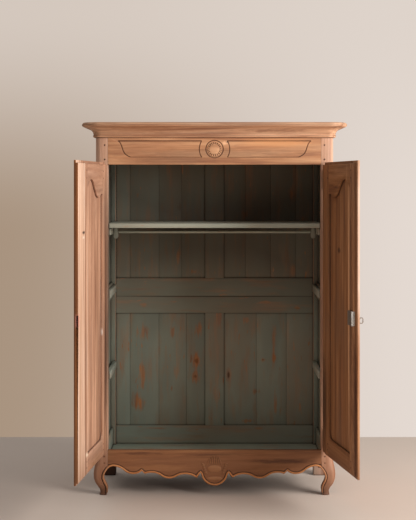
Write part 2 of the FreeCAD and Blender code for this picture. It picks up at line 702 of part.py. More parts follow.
for name, side in (("left", -1), ("right", 1)):
    home = door_home(side)
    joint = "0" if side < 0 else "gap_lip"
    meet_lip = "hinge_x - mid_lip - " + joint
    meet_core = "hinge_x - mid_core - " + ("0" if side < 0 else "gap_core")

    for part in ("hinge", "meeting"):
        stile = Piece("%s_door_%s_stile" % (name, part), home, side)
        if part == "hinge":
            lip, core = span("lip_edge", "stile_in"), span("core_edge", "stile_in")
            mortise, groove = span("stile_in - 40", "stile_in"), span("stile_in - 8", "stile_in")
            high = "1740"
        else:
            lip, core = span("meet_in", meet_lip), span("meet_in", meet_core)
            mortise, groove = span("meet_in", "meet_in + 36"), span("meet_in", "meet_in + 8")
            high = "1780"
        stile.block(lip, LIP, ("lip_low", "lip_high"))
        stile.block(core, CORE, ("core_low", "core_high"))
        for tenon in (TOP_TENON, LOW_TENON):
            stile.block(mortise, TENON, tenon, cut=True)
        stile.block(groove, TONGUE, ("door_rail - 8", high), cut=True)
        for t, z in DOOR_PEGS:
            if (t < 200) == (part == "hinge"):
                stile.peg_hole((-t, z), ("lip_front", "core_back"), "peg_r - 0.5")
        if part == "hinge":
            for middle in ("hinge_low", "hinge_high"):
                stile.block(span("lip_edge", "lip_edge + 20"), (-1.25, 1.25),
                            (middle + " + 5", middle + " + 35"), cut=True)
        elif side > 0:
            # recess for the lock from inside, and the keyhole through the stile
            stile.block(span("meet_in", meet_core), ("lock_front", "core_back"),
                        ("lock_z - lock_h / 2", "lock_z + lock_h / 2"), cut=True)
            stile.rod("y", ("-key_t", "key_z"), ("lip_front", "lock_front"), "key_r + 1.5",
                      cut=True)
            stile.block(span("key_t - 2.5", "key_t + 2.5"), ("lip_front", "lock_front"),
                        ("key_z - 17", "key_z"), cut=True)

    for part, crested in (("top", True), ("bottom", False)):
        rail = Piece("%s_door_%s_rail" % (name, part), home, side)
        edge = "high" if crested else "low"
        rail.extrude("XZ", rail_path(crested, val("lip_" + edge)), *LIP)
        rail.extrude("XZ", rail_path(crested, val("core_" + edge)), *CORE)
        rail.extrude("XZ", panel_path(side, 8), *TONGUE, cut=True)
        tenon = TOP_TENON if crested else LOW_TENON
        rail.block(span("stile_in - 40", "stile_in"), TENON, tenon)
        rail.block(span("meet_in", "meet_in + 36"), TENON, tenon)
        for t, z in DOOR_PEGS:
            if (z > 1000) == crested:
                rail.peg_hole((-t, z), TENON, "peg_r - 0.5")

    panel = Piece("%s_door_panel" % name, home, side)
    panel.extrude("XZ", panel_path(side, 7), *TONGUE)
    panel.loft("XZ", [("panel_y", panel_path(side, -10)), ("panel_y - 7", panel_path(side, -42))],
               ruled=True)

    pegs = [peg(-side * t, z, val("lip_front") - 0.8, 30.6, val("peg_r") - 0.5)
            for t, z in DOOR_PEGS]
    group("%s_door_pegs" % name, pegs, home)

# False centre post on the left door, rebated on both edges for the doors' lips.
centre = Piece("left_door_centre_post", door_home(-1), -1)
centre.block(span("hinge_x - mid_lip", "hinge_x + mid_lip"), LIP, ("lip_low", "lip_high"))
centre.block(span("hinge_x - mid_core", "hinge_x + mid_core"), CORE, ("core_low", "core_high"))
centre.block(span("hinge_x + mid_core - 15", "hinge_x + mid_core"), (14.5, 22.5),
             (1050, 1114), cut=True)

# ---------------------------------------------------------------- hinges
HEIGHTS = (val("hinge_low"), val("hinge_high"))
BARREL, PIN, KNUCKLE = val("barrel_r"), val("pin_r"), val("knuckle_h")


def knuckle(x, z, bore, wing):
    """One knuckle: a bored barrel with its wing."""
    barrel = Part.makeCylinder(BARREL, KNUCKLE - 0.15, V(x, 0, z), UP)
    solid = barrel.fuse(wing).removeSplitter()
    return solid.cut(Part.makeCylinder(bore, KNUCKLE, V(x, 0, z - 0.01), UP))


def octagon(x, r, h):
    """Corners of an eight-sided ring about an upright axis, closed on its first."""
    return [V(x + r * math.cos(k * math.pi / 4), r * math.sin(k * math.pi / 4), h)
            for k in range(9)]


def finial(rings):
    """A solid with flat facets between eight-sided rings."""
    sides = [[a[k], a[k + 1], b[k + 1], b[k], a[k]]
             for a, b in zip(rings, rings[1:]) for k in range(8)]
    faces = [Part.Face(Part.makePolygon(side)) for side in [rings[0], rings[-1]] + sides]
    return Part.Solid(Part.Shell(faces))


def pin(x, z):
    """A pin with a forged eight-sided finial on each end."""
    shank = Part.makeCylinder(PIN, 2 * KNUCKLE + 4, V(x, 0, z - KNUCKLE - 2), UP)
    high = finial([octagon(x, r, KNUCKLE + h) for r, h in ((5, 0.15), (BARREL, 5), (3, 12))])
    low = high.mirror(V(0, 0, 0), UP)
    for end in (low, high):
        end.translate(V(0, 0, z))
    return shank.fuse([low, high]).removeSplitter()


def hinge_home(obj):
    """Place fixed hinge pieces, drawn about the hinge axes' plane."""
    obj.setExpression("Placement.Base.x", bound("centre_x"))
    obj.setExpression("Placement.Base.y", bound("front_y + hinge_y"))


HINGE_X = val("hinge_x")
for name, side in (("left", -1), ("right", 1)):
    x = side * HINGE_X
    fixed = [knuckle(x, z - KNUCKLE, PIN, cuboid((x - 1.25, x + 1.25), (4, 27), (z - 35, z - 5)))
             for z in HEIGHTS]
    group("%s_hinge_fixed_knuckles" % name, fixed, hinge_home)
    moving = []
    for z in HEIGHTS:
        wing = cuboid(sorted((-side * 4, -side * 28)), (-1.25, 1.25), (z + 5, z + 35))
        moving.append(knuckle(0, z + 0.15, PIN + val("pin_play"), wing))
    group("%s_hinge_door_knuckles" % name, moving, door_home(side))
group("hinge_pins", mirrored([pin(HINGE_X, z) for z in HEIGHTS]), hinge_home)

# ---------------------------------------------------------------- lock
right_home = door_home(1)
LOCK_END = "hinge_x - mid_core - gap_core"
lock_z = ("lock_z - lock_h / 2", "lock_z + lock_h / 2")
case = Piece("lock_case", right_home)
case.block(span(LOCK_END + " - lock_len", LOCK_END), ("lock_front", "lock_back"), lock_z)
case.block(span(LOCK_END + " - lock_len + 2", LOCK_END + " - 2"),
           ("lock_front + 2", "lock_back - 2"),
           ("lock_z - lock_h / 2 + 2", "lock_z + lock_h / 2 - 2"), cut=True)
case.block(span(LOCK_END + " - 2", LOCK_END), (15.7, 21.3), (1085.7, 1100.3), cut=True)
case.rod("y", ("-key_t", "key_z"), ("lock_front", "lock_front + 2"), "key_r + 0.2", cut=True)
case.block(span("key_t - 1.6", "key_t + 1.6"), ("lock_front", "lock_front + 2"),
           ("key_z - 15", "key_z"), cut=True)

bolt = Piece("lock_bolt", right_home)
bolt.block(span(LOCK_END + " - 48", LOCK_END), (16, 21), (1086, 1100))
bolt.block(span("key_t - 8", "key_t + 5"), (16, 21), (1086, 1090), cut=True)

KEY_T, KEY_Z, FACE = val("key_t"), val("key_z"), val("lip_front")


def oval(t, z, wide, tall):
    """A closed oval of eight sides about (t, z)."""
    a, b = wide / 2, tall / 2
    corners = [(1, 0.5), (0.5, 1), (-0.5, 1), (-1, 0.5), (-1, -0.5), (-0.5, -1), (0.5, -1), (1, -0.5)]
    return [(t + a * p, z + b * q) for p, q in corners]


plate = Piece("escutcheon", right_home)
shield = [(-16, -18), (-16, 14), (-9, 35), (9, 35), (16, 14), (16, -18), (0, -43)]
plate.extrude("XZ", [(t - KEY_T, z + KEY_Z) for t, z in shield], "lip_front - 1.5", "lip_front")
plate.peg_hole((-KEY_T, KEY_Z), ("lip_front - 1.5", "lip_front"), "key_r + 1")
plate.block(span("key_t - 2", "key_t + 2"), ("lip_front - 1.5", "lip_front"),
            ("key_z - 15", "key_z"), cut=True)

key = Piece("key", right_home)
key.rod("y", ("-key_t", "key_z"), ("lip_front - 16", "lock_back - 3"), "key_r")
key.extrude("YZ", oval(FACE - 27, KEY_Z, 24, 34), "-key_t - 1.75", "-key_t + 1.75")
key.extrude("YZ", oval(FACE - 27, KEY_Z, 15, 24), "-key_t - 1.75", "-key_t + 1.75", cut=True)
key.block(span("key_t - 1.25", "key_t + 1.25"), (17, 27), ("key_z - 13", "key_z - 1"))
key.block(span("key_t - 1.25", "key_t + 1.25"), (21, 23), ("key_z - 13", "key_z - 8"), cut=True)

# ---------------------------------------------------------------- checks and export
doc.recompute()
faults = []
for obj in doc.Objects:
    if "Invalid" in obj.State or "Error" in obj.State:
        faults.append("%s: %s" % (obj.Name, obj.State))
    if obj.TypeId in ("PartDesign::Pocket", "PartDesign::SubtractiveBox",
                      "PartDesign::SubtractiveCylinder", "PartDesign::SubtractivePrism"):
        if not obj.Shape.isNull() and obj.Shape.Volume > obj.BaseFeature.Shape.Volume - 1e-3:
            faults.append("%s cuts nothing" % obj.Name)
for piece in PIECES:
    if piece.Shape.isNull() or not piece.Shape.isValid():
        faults.append("%s: null or invalid shape" % piece.Label)
    elif piece.TypeId == "PartDesign::Body" and len(piece.Shape.Solids) != 1:
        faults.append("%s has %d solids" % (piece.Label, len(piece.Shape.Solids)))
if faults:
    raise SystemExit("\n".join(faults))

os.makedirs("parts", exist_ok=True)
for piece in PIECES:
    piece.Shape.exportStep(os.path.join("parts", piece.Label + ".step"))
print("%d pieces written" % len(PIECES))
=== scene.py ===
"""Looks of an old two-door armoire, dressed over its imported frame.

The outside is fruitwood, stripped and left dry; the inside keeps a worn coat of
grey-green paint. Sizes are in millimetres unless a name says otherwise.
"""

import json
import logging
import math
from contextlib import contextmanager
from dataclasses import dataclass, field
from enum import Enum
from typing import Any, Callable, Dict, Iterator, List, Optional, Sequence, Tuple

import bpy
from mathutils import Matrix, Vector

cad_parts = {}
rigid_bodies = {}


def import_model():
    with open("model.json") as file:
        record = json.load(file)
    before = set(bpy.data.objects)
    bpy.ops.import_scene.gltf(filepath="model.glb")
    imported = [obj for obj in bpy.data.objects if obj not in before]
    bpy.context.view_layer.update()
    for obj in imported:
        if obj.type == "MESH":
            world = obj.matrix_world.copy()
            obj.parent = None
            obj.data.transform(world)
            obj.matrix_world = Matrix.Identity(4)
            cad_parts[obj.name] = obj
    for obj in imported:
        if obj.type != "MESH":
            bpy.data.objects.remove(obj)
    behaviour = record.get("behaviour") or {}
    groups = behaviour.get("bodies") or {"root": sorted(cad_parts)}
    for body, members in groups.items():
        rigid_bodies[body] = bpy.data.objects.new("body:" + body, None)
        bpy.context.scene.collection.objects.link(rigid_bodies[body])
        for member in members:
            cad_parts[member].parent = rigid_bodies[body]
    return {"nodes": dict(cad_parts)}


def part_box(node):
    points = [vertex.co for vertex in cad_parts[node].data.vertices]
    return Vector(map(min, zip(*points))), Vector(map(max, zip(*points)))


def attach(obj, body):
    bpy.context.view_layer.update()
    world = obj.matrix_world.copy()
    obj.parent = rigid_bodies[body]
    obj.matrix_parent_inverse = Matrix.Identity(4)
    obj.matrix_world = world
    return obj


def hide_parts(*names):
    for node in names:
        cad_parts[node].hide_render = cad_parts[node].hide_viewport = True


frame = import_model()

Point = Tuple[float, float, float]
Flat = Tuple[float, float]
Object = bpy.types.Object
Tree = bpy.types.NodeTree
Socket = bpy.types.NodeSocket
FaceTest = Callable[[bpy.types.MeshPolygon], bool]
log = logging.getLogger("armoire")

MM = 0.001
CENTRE_X = -14.0  # the middle of the case, in the frame
FRONT_Y = 102.0  # the front of its posts, in the frame


# ------------------------------------------------------------------ small tools
def linear(code: str) -> Tuple[float, float, float, float]:
    """Turn an sRGB hex colour into linear light.

    Args:
        code: A colour such as "#B67E56".

    Returns:
        Red, green, blue and alpha, 0 to 1.
    """
    parts = [int(code[i:i + 2], 16) / 255 for i in (1, 3, 5)]
    lit = [p / 12.92 if p <= 0.04045 else ((p + 0.055) / 1.055) ** 2.4 for p in parts]
    return (lit[0], lit[1], lit[2], 1.0)


def place(x: float, y: float, z: float) -> Point:
    """Turn carcass millimetres (middle, front of posts, floor) into frame metres."""
    return ((x + CENTRE_X) * MM, (y + FRONT_Y) * MM, z * MM)


def clear_selection() -> None:
    """Leave nothing selected."""
    for obj in list(bpy.context.selected_objects):
        obj.select_set(False)


def activate(obj: Object) -> None:
    """Make one object the only selected and active one.

    Args:
        obj: The object.
    """
    clear_selection()
    obj.select_set(True)
    bpy.context.view_layer.objects.active = obj


@contextmanager
def shaping(obj: Object, select: str = "SELECT") -> Iterator[None]:
    """Hold a piece in edit mode.

    Args:
        obj: The piece.
        select: "SELECT" for all of it, "DESELECT" for none, or nothing for what is selected.

    Returns:
        Nothing: the piece stays in edit mode until the block ends.
    """
    activate(obj)
    bpy.ops.object.mode_set(mode="EDIT")
    if select:
        bpy.ops.mesh.select_all(action=select)
    yield
    bpy.ops.object.mode_set(mode="OBJECT")


def choose(obj: Object, kind: str, test: Callable[[Any], bool]) -> None:
    """Select only some of a piece, for the next edit.

    Args:
        obj: The piece.
        kind: "polygons" or "vertices".
        test: Says whether one of them is wanted.
    """
    with shaping(obj, "DESELECT"):
        pass
    for part in getattr(obj.data, kind):
        part.select = test(part)


def apply_modifier(obj: Object, kind: str, **settings: Any) -> None:
    """Add a modifier, set it and apply it.

    Args:
        obj: The piece.
        kind: The modifier's type.
        settings: The modifier's properties.
    """
    activate(obj)
    bpy.ops.object.modifier_add(type=kind)
    modifier = obj.modifiers[-1]
    for key, value in settings.items():
        setattr(modifier, key, value)
    bpy.ops.object.modifier_apply(modifier=modifier.name)


def freeze(obj: Object) -> None:
    """Move an object's place into its mesh."""
    activate(obj)
    bpy.ops.object.transform_apply(location=True, rotation=True, scale=True)


def join(pieces: Sequence[Object], name: str) -> Object:
    """Join pieces into one object.

    Args:
        pieces: The objects to join.
        name: The name of the result.

    Returns:
        The joined object.
    """
    clear_selection()
    for piece in pieces:
        piece.select_set(True)
    bpy.context.view_layer.objects.active = pieces[0]
    bpy.ops.object.join()
    pieces[0].name = name
    return pieces[0]


def smooth(obj: Object, angle: float = 32.0) -> None:
    """Shade a piece smooth across its shallow edges."""
    activate(obj)
    bpy.ops.object.shade_smooth_by_angle(angle=math.radians(angle))


def copy_node(node: str) -> Object:
    """Copy a frame node as a clean mesh with flat faces merged.

    Args:
        node: The frame node's name.

    Returns:
        The copy, free of the frame.
    """
    activate(frame["nodes"][node])
    bpy.ops.object.duplicate()
    obj = bpy.context.view_layer.objects.active
    bpy.ops.object.parent_clear(type="CLEAR_KEEP_TRANSFORM")
    for key in list(obj.keys()):
        del obj[key]
    obj.name = "worn_" + node
    obj.data.materials.clear()
    with shaping(obj):
        bpy.ops.mesh.remove_doubles(threshold=0.02 * MM)
        bpy.ops.mesh.customdata_custom_splitnormals_clear()
        bpy.ops.mesh.dissolve_limited(angle_limit=math.radians(0.6))
    return obj


def round_edges(obj: Object, width: float, segments: int = 2,
                angle: float = 40.0) -> None:
    """Wear a piece's sharp edges round.

    Args:
        obj: The piece.
        width: How far the wear reaches from each edge, in millimetres.
        segments: Faces across a worn edge.
        angle: Edges flatter than this stay as they are, in degrees.
    """
    apply_modifier(obj, "BEVEL", width=width * MM, segments=segments, limit_method="ANGLE",
                   angle_limit=math.radians(angle), use_clamp_overlap=False)
    smooth(obj)


def bar(points: Sequence[Point], radius: float, closed: bool = False) -> Object:
    """Make a round bar along a path, to cut a groove or lay a bead.

    Args:
        points: The path, in frame metres.
        radius: The bar's radius in millimetres.
        closed: Whether the path comes back to its start.

    Returns:
        The bar as a mesh.
    """
    clear_selection()
    bpy.ops.curve.primitive_nurbs_path_add(location=(0, 0, 0))
    obj = bpy.context.object
    curve = obj.data
    curve.splines.clear()
    run = curve.splines.new("POLY")
    run.points.add(len(points) - 1)
    for knot, point in zip(run.points, points):
        knot.co = (*point, 1.0)
    run.use_cyclic_u = closed
    curve.dimensions = "3D"
    curve.twist_mode = "MINIMUM"
    curve.bevel_depth = radius * MM
    curve.bevel_resolution = 2
    curve.use_fill_caps = True
    bpy.ops.object.convert(target="MESH")
    return bpy.context.object


def spot_key(co: Vector) -> Tuple[int, int, int]:
    """A corner's place in hundredths of a millimetre."""
    return tuple(round(c / (0.01 * MM)) for c in co)


def carve(obj: Object, tools: Sequence[Object]) -> List[int]:
    """Cut each tool out of a piece, and throw the tools away.

    Args:
        obj: The piece.
        tools: The bars that cut it.

    Returns:
        The numbers of the faces that the tools left.
    """
    corners = {spot_key(v.co) for tool in tools for v in tool.data.vertices}
    for tool in tools:
        apply_modifier(obj, "BOOLEAN", operation="DIFFERENCE", object=tool, solver="EXACT",
                       use_self=True)
        bpy.data.objects.remove(tool)
    cut = {v.index for v in obj.data.vertices if spot_key(v.co) in corners}
    return [f.index for f in obj.data.polygons if cut.intersection(f.vertices)]


def arc_points(centre: Flat, radius: float, start: float, stop: float, steps: int) -> List[Flat]:
    """Points along an arc.

    Args:
        centre: The arc's centre.
        radius: Its radius.
        start: Start angle in degrees, from +x towards +z.
        stop: End angle in degrees.
        steps: How many points.

    Returns:
        The points, from start to stop.
    """
    turns = [math.radians(start + (stop - start) * i / (steps - 1)) for i in range(steps)]
    return [(centre[0] + radius * math.cos(t), centre[1] + radius * math.sin(t)) for t in turns]


def eased(points: Sequence[Flat], steps: int = 6) -> List[Flat]:
    """A smooth line through points.

    Args:
        points: The points that the line passes.
        steps: Points added on each stretch.

    Returns:
        The line's points.
    """
    ends = [points[0]] + list(points) + [points[-1]]
    line: List[Flat] = []
    for a, b, c, d in zip(ends, ends[1:], ends[2:], ends[3:]):
        for i in range(steps):
            t = i / steps
            line.append(tuple(
                0.5 * (2 * q + (r - p) * t + (2 * p - 5 * q + 4 * r - s) * t * t
                       + (3 * q - p - 3 * r + s) * t ** 3)
                for p, q, r, s in zip(a, b, c, d)))
    return line + [points[-1]]


def three_point_arcs(points: Sequence[Flat], steps: int = 9) -> List[Flat]:
    """Points along a run of arcs.

    Args:
        points: A start, then a middle and an end for each arc.
        steps: Points on each arc.

    Returns:
        The run's points.
    """
    line: List[Flat] = [points[0]]
    for i in range(0, len(points) - 2, 2):
        a, b, c = (Vector((p[0], p[1], 0)) for p in points[i:i + 3])
        ab, ac = b - a, c - a
        normal = ab.cross(ac)
        offset = (ac.length_squared * normal.cross(ab) + ab.length_squared * ac.cross(normal))
        centre = a + offset / (2 * normal.length_squared)
        start, end = a - centre, c - centre
        turn = start.angle(end)
        if (b - centre).angle(start) > turn or (b - centre).angle(end) > turn:
            turn = 2 * math.pi - turn
        sign = 1 if normal.z > 0 else -1
        for j in range(1, steps + 1):
            spot = centre + Matrix.Rotation(sign * turn * j / steps, 3, "Z") @ start
            line.append((spot.x, spot.y))
    return line


def beside(outline: Sequence[Flat], gap: float, fineness: float = 2.0,
           apart: float = 5.0) -> List[Flat]:
    """A line that runs beside an outline, to its left, at an even distance.

    Args:
        outline: The outline's points.
        gap: The distance.
        fineness: The longest step on the outline.
        apart: The shortest step on the line.

    Returns:
        The points of the line, without the loops that form inside sharp bends.
    """
    fine: List[Flat] = []
    for a, b in zip(outline, outline[1:]):
        count = max(1, int(math.dist(a, b) / fineness))
        fine += [(a[0] + (b[0] - a[0]) * i / count, a[1] + (b[1] - a[1]) * i / count)
                 for i in range(count)]
    fine.append(outline[-1])
    line: List[Flat] = []
    for before, here, after in zip(fine, fine[1:], fine[2:]):
        run = math.dist(before, after)
        if run < 1e-9:
            continue
        spot = (here[0] - gap * (after[1] - before[1]) / run,
                here[1] + gap * (after[0] - before[0]) / run)
        clear = min(math.dist(spot, p) for p in fine) > gap * 0.985
        if clear and (not line or math.dist(spot, line[-1]) > apart):
            line.append(spot)
    return line


# ------------------------------------------------------------------ finishes
def add(tree: Tree, kind: str, inputs: Optional[Dict[Any, Any]] = None,
        **settings: Any) -> bpy.types.Node:
    """Add a node with its settings, values and links.

    Args:
        tree: The node tree.
        kind: The node's type.
        inputs: Sockets, values or hex colours, by input name or number.
        settings: The node's properties.

    Returns:
        The node.
    """
    node = tree.nodes.new(kind)
    for key, value in settings.items():
        setattr(node, key, value)
    for key, value in (inputs or {}).items():
        if isinstance(value, Socket):
            tree.links.new(value, node.inputs[key])
        else:
            node.inputs[key].default_value = linear(value) if isinstance(value, str) else value
    return node


def ramp(tree: Tree, value: Socket, stops: Sequence[Tuple[float, str]]) -> Socket:
    """Colours along a value.

    Args:
        tree: The node tree.
        value: The value, 0 to 1.
        stops: Places and hex colours.

    Returns:
        The colour.
    """
    node = add(tree, "ShaderNodeValToRGB", {"Fac": value})
    band = node.color_ramp
    band.elements[0].position, band.elements[0].color = stops[0][0], linear(stops[0][1])
    band.elements[1].position, band.elements[1].color = stops[-1][0], linear(stops[-1][1])
    for spot, code in stops[1:-1]:
        band.elements.new(spot).color = linear(code)
    return node.outputs["Color"]


def fade(tree: Tree, value: Socket, low: float, high: float, top: float = 1.0) -> Socket:
    """A soft step of a value.

    Args:
        tree: The node tree.
        value: The value.
        low: Where the step starts, at 0.
        high: Where it is full.
        top: What it rises to.

    Returns:
        The step.
    """
    return add(tree, "ShaderNodeMapRange",
               {"Value": value, "From Min": low, "From Max": high, "To Min": 0.0, "To Max": top},
               interpolation_type="SMOOTHSTEP").outputs["Result"]


def blend(tree: Tree, share: Any, under: Any, over: Any) -> Socket:
    """Lay one colour over another by a share."""
    return add(tree, "ShaderNodeMix", {0: share, 6: under, 7: over}, data_type="RGBA").outputs[2]


def layered(tree: Tree, tone: Any, *layers: Tuple[Socket, float, float, float, Any]) -> Socket:
    """Lay colours over a colour, each where its own value rises.

    Args:
        tree: The node tree.
        tone: The lowest colour.
        layers: For each one its value, where it starts, where it is full, the most that it
            covers, and its colour.

    Returns:
        The colour on top.
    """
    for value, low, high, top, code in layers:
        tone = blend(tree, fade(tree, value, low, high, top), tone, code)
    return tone


def math_node(tree: Tree, how: str, a: Any, b: Any = 0.0) -> Socket:
    """One sum of two values."""
    return add(tree, "ShaderNodeMath", {0: a, 1: b}, operation=how).outputs[0]


def in_place(tree: Tree) -> Socket:
    """The place in the frame, in metres."""
    return add(tree, "ShaderNodeTexCoord").outputs["Object"]


def axis(tree: Tree, spot: Socket, name: str) -> Socket:
    """One axis of a place or a direction: X, Y or Z."""
    return add(tree, "ShaderNodeSeparateXYZ", {"Vector": spot}).outputs[name]


def risen(tree: Tree) -> Socket:
    """Height above the floor, in metres."""
    return axis(tree, in_place(tree), "Z")


def shade_and_dirt_in_hollows(tree: Tree, tone: Socket, reach: float, code: str, top: float) -> Socket:
    """Darken corners and grooves by ambient occlusion: painted shade, standing also for dirt.

    Args:
        tree: The node tree.
        tone: The colour before it is darkened.
        reach: How near a wall must be to darken a face, in millimetres.
        code: The colour of the painted shade and dirt.
        top: The most that it covers.

    Returns:
        The darkened colour.
    """
    # ambient occlusion: painted shade in corners, joints and grooves, with dirt
    open_sky = add(tree, "ShaderNodeAmbientOcclusion", {"Distance": reach * MM},
                   samples=6).outputs["AO"]
    return layered(tree, tone, (open_sky, 0.88, 0.4, top, code))


class Grain(Enum):
    """The way a board's fibres run on the closed piece, with its cross and depth axes."""

    UP = ((0, 0, 1), (1, 0, 0), (0, 1, 0))
    ACROSS = ((1, 0, 0), (0, 0, 1), (0, -1, 0))
    DEEP = ((0, 1, 0), (0, 0, 1), (1, 0, 0))


@dataclass(frozen=True)
class Mark:
    """A rub, knot, crack or scratch, or a patch of painted highlight or painted shade, at its own
    place.

    Attributes:
        x: Its middle, in frame millimetres.
        y: The same, backwards.
        z: The same, upwards.
        wide: Its width.
        tall: Its height.
        code: Its colour, or nothing for the bare wood under a coat.
        cover: The most that it covers, 0 to 1.
        ragged: How far its edge is broken up.
        deep: Its size backwards.
        square: Whether it keeps its full width to its ends.
    """

    x: float
    y: float
    z: float
    wide: float
    tall: float
    code: str = ""
    cover: float = 0.6
    ragged: float = 3.4
    deep: float = 20.0
    square: bool = False


@dataclass(frozen=True)
class Plank:
    """How the wood of one piece lies.

    Attributes:
        middle: The piece's middle, in frame metres.
        grain: The way its fibres run.
        swing: How far the piece has turned about the upright axis, in degrees.
        seed: A number that sets this piece's figure apart.
        marks: The rubs, knots and cracks that lie on it.
    """

    middle: Point
    grain: Grain
    swing: float = 0.0
    seed: int = 0
    marks: Tuple[Mark, ...] = ()

    def along(self, tree: Tree) -> Socket:
        """Find the piece's own coordinates.

        Args:
            tree: The node tree.

        Returns:
            The place along, across and into the wood.
        """
        # the fibres dive 1.2 to 3.2 degrees out of the board
        dive = Matrix.Rotation(math.radians(1.2 + self.seed * 7 % 5 * 0.5), 3, "Y")
        turn = dive @ Matrix(self.grain.value) @ Matrix.Rotation(math.radians(-self.swing), 3, "Z")
        # the heart of the log lies up to 55 mm aside of the board and 55 to 145 mm behind it
        pith = Vector((self.seed * 0.731 % 3.0, (self.seed * 0.37 % 1.0 - 0.5) * 0.11,
                       0.055 + self.seed * 0.53 % 1.0 * 0.09))
        return add(tree, "ShaderNodeMapping",
                   {"Vector": in_place(tree), "Location": pith - turn @ Vector(self.middle),
                    "Rotation": turn.to_euler()}).outputs["Vector"]


def stretched(tree: Tree, spot: Socket, length: float, width: float) -> Socket:
    """Coordinates that make a noise of scale 1 this long and this wide, in millimetres."""
    scale = (1000 / length, 1000 / width, 1000 / width)
    return add(tree, "ShaderNodeMapping", {"Vector": spot, "Scale": scale}).outputs["Vector"]


def noise(tree: Tree, spot: Socket, detail: float = 3.0, rough: float = 0.55) -> Socket:
    """Fractal noise of scale 1."""
    return add(tree, "ShaderNodeTexNoise", {"Vector": spot, "Scale": 1.0, "Detail": detail,
                                            "Roughness": rough}).outputs["Fac"]


def figure(tree: Tree, plank: Plank) -> Socket:
    """The noise that breaks up a piece's marks along its grain."""
    return noise(tree, stretched(tree, plank.along(tree), 60, 11), 3.0, 0.6)


def marked(tree: Tree, tone: Socket, plank: Plank, bare: Any, breaks: Socket) -> Socket:
    """Lay a piece's own marks over its colour.

    Args:
        tree: The node tree.
        tone: The colour so far.
        plank: The piece, with its marks.
        bare: The colour of a rub, which names none.
        breaks: The noise that breaks up their edges.

    Returns:
        The marked colour.
    """
    for mark in plank.marks:
        # scaled so that the mark's edge lies 1 from its middle
        scale = [2 / (size * MM) for size in (mark.wide, mark.deep, mark.tall)]
        middle = [-c * MM * k for c, k in zip((mark.x, mark.y, mark.z), scale)]
        near = add(tree, "ShaderNodeMapping", {"Vector": in_place(tree), "Location": middle,
                                               "Scale": scale}).outputs["Vector"]
        if mark.square:
            sides = add(tree, "ShaderNodeVectorMath", {0: near},
                        operation="ABSOLUTE").outputs["Vector"]
            wider = math_node(tree, "MAXIMUM", axis(tree, sides, "X"), axis(tree, sides, "Y"))
            far = math_node(tree, "MAXIMUM", wider, axis(tree, sides, "Z"))
        else:
            far = add(tree, "ShaderNodeVectorMath", {0: near}, operation="LENGTH").outputs["Value"]
        ragged = math_node(tree, "MULTIPLY", math_node(tree, "SUBTRACT", 0.5, breaks), mark.ragged)
        far = math_node(tree, "ADD", far, ragged)
        tone = layered(tree, tone, (far, 1.15, 0.2, mark.cover, mark.code or bare))
    return tone


class Finish:
    """What every finish shares: a shader that takes its colour, roughness and relief.

    Attributes:
        roughness: Mean roughness.
        relief: Depth of its relief, in millimetres.
        metallic: How metallic it is, 0 to 1.
    """

    roughness: float = 0.7
    relief: float = 0.25
    metallic: float = 0.0

    def layers(self, tree: Tree, plank: Plank) -> Tuple[Socket, Socket]:
        """Its colour, and the height of its figure from 0 to 1."""
        raise NotImplementedError

    def material(self, name: str, plank: Plank) -> bpy.types.Material:
        """Build the finish for one piece.

        Args:
            name: The material's name.
            plank: The lie of the piece.

        Returns:
            The material.
        """
        material = bpy.data.materials.new(name)
        material.use_nodes = True
        tree = material.node_tree
        tree.nodes.clear()
        tone, height = self.layers(tree, plank)
        rough = add(tree, "ShaderNodeMapRange",
                    {"Value": height, "From Min": 0.0, "From Max": 1.0,
                     "To Min": self.roughness - 0.06, "To Max": min(1.0, self.roughness + 0.08)})
        bump = add(tree, "ShaderNodeBump",
                   {"Height": height, "Strength": 0.6, "Distance": self.relief * MM})
        shader = add(tree, "ShaderNodeBsdfPrincipled",
                     {"Base Color": tone, "Roughness": rough.outputs["Result"],
                      "Metallic": self.metallic, "Normal": bump.outputs["Normal"]})
        add(tree, "ShaderNodeOutputMaterial", {"Surface": shader.outputs["BSDF"]})
        return material


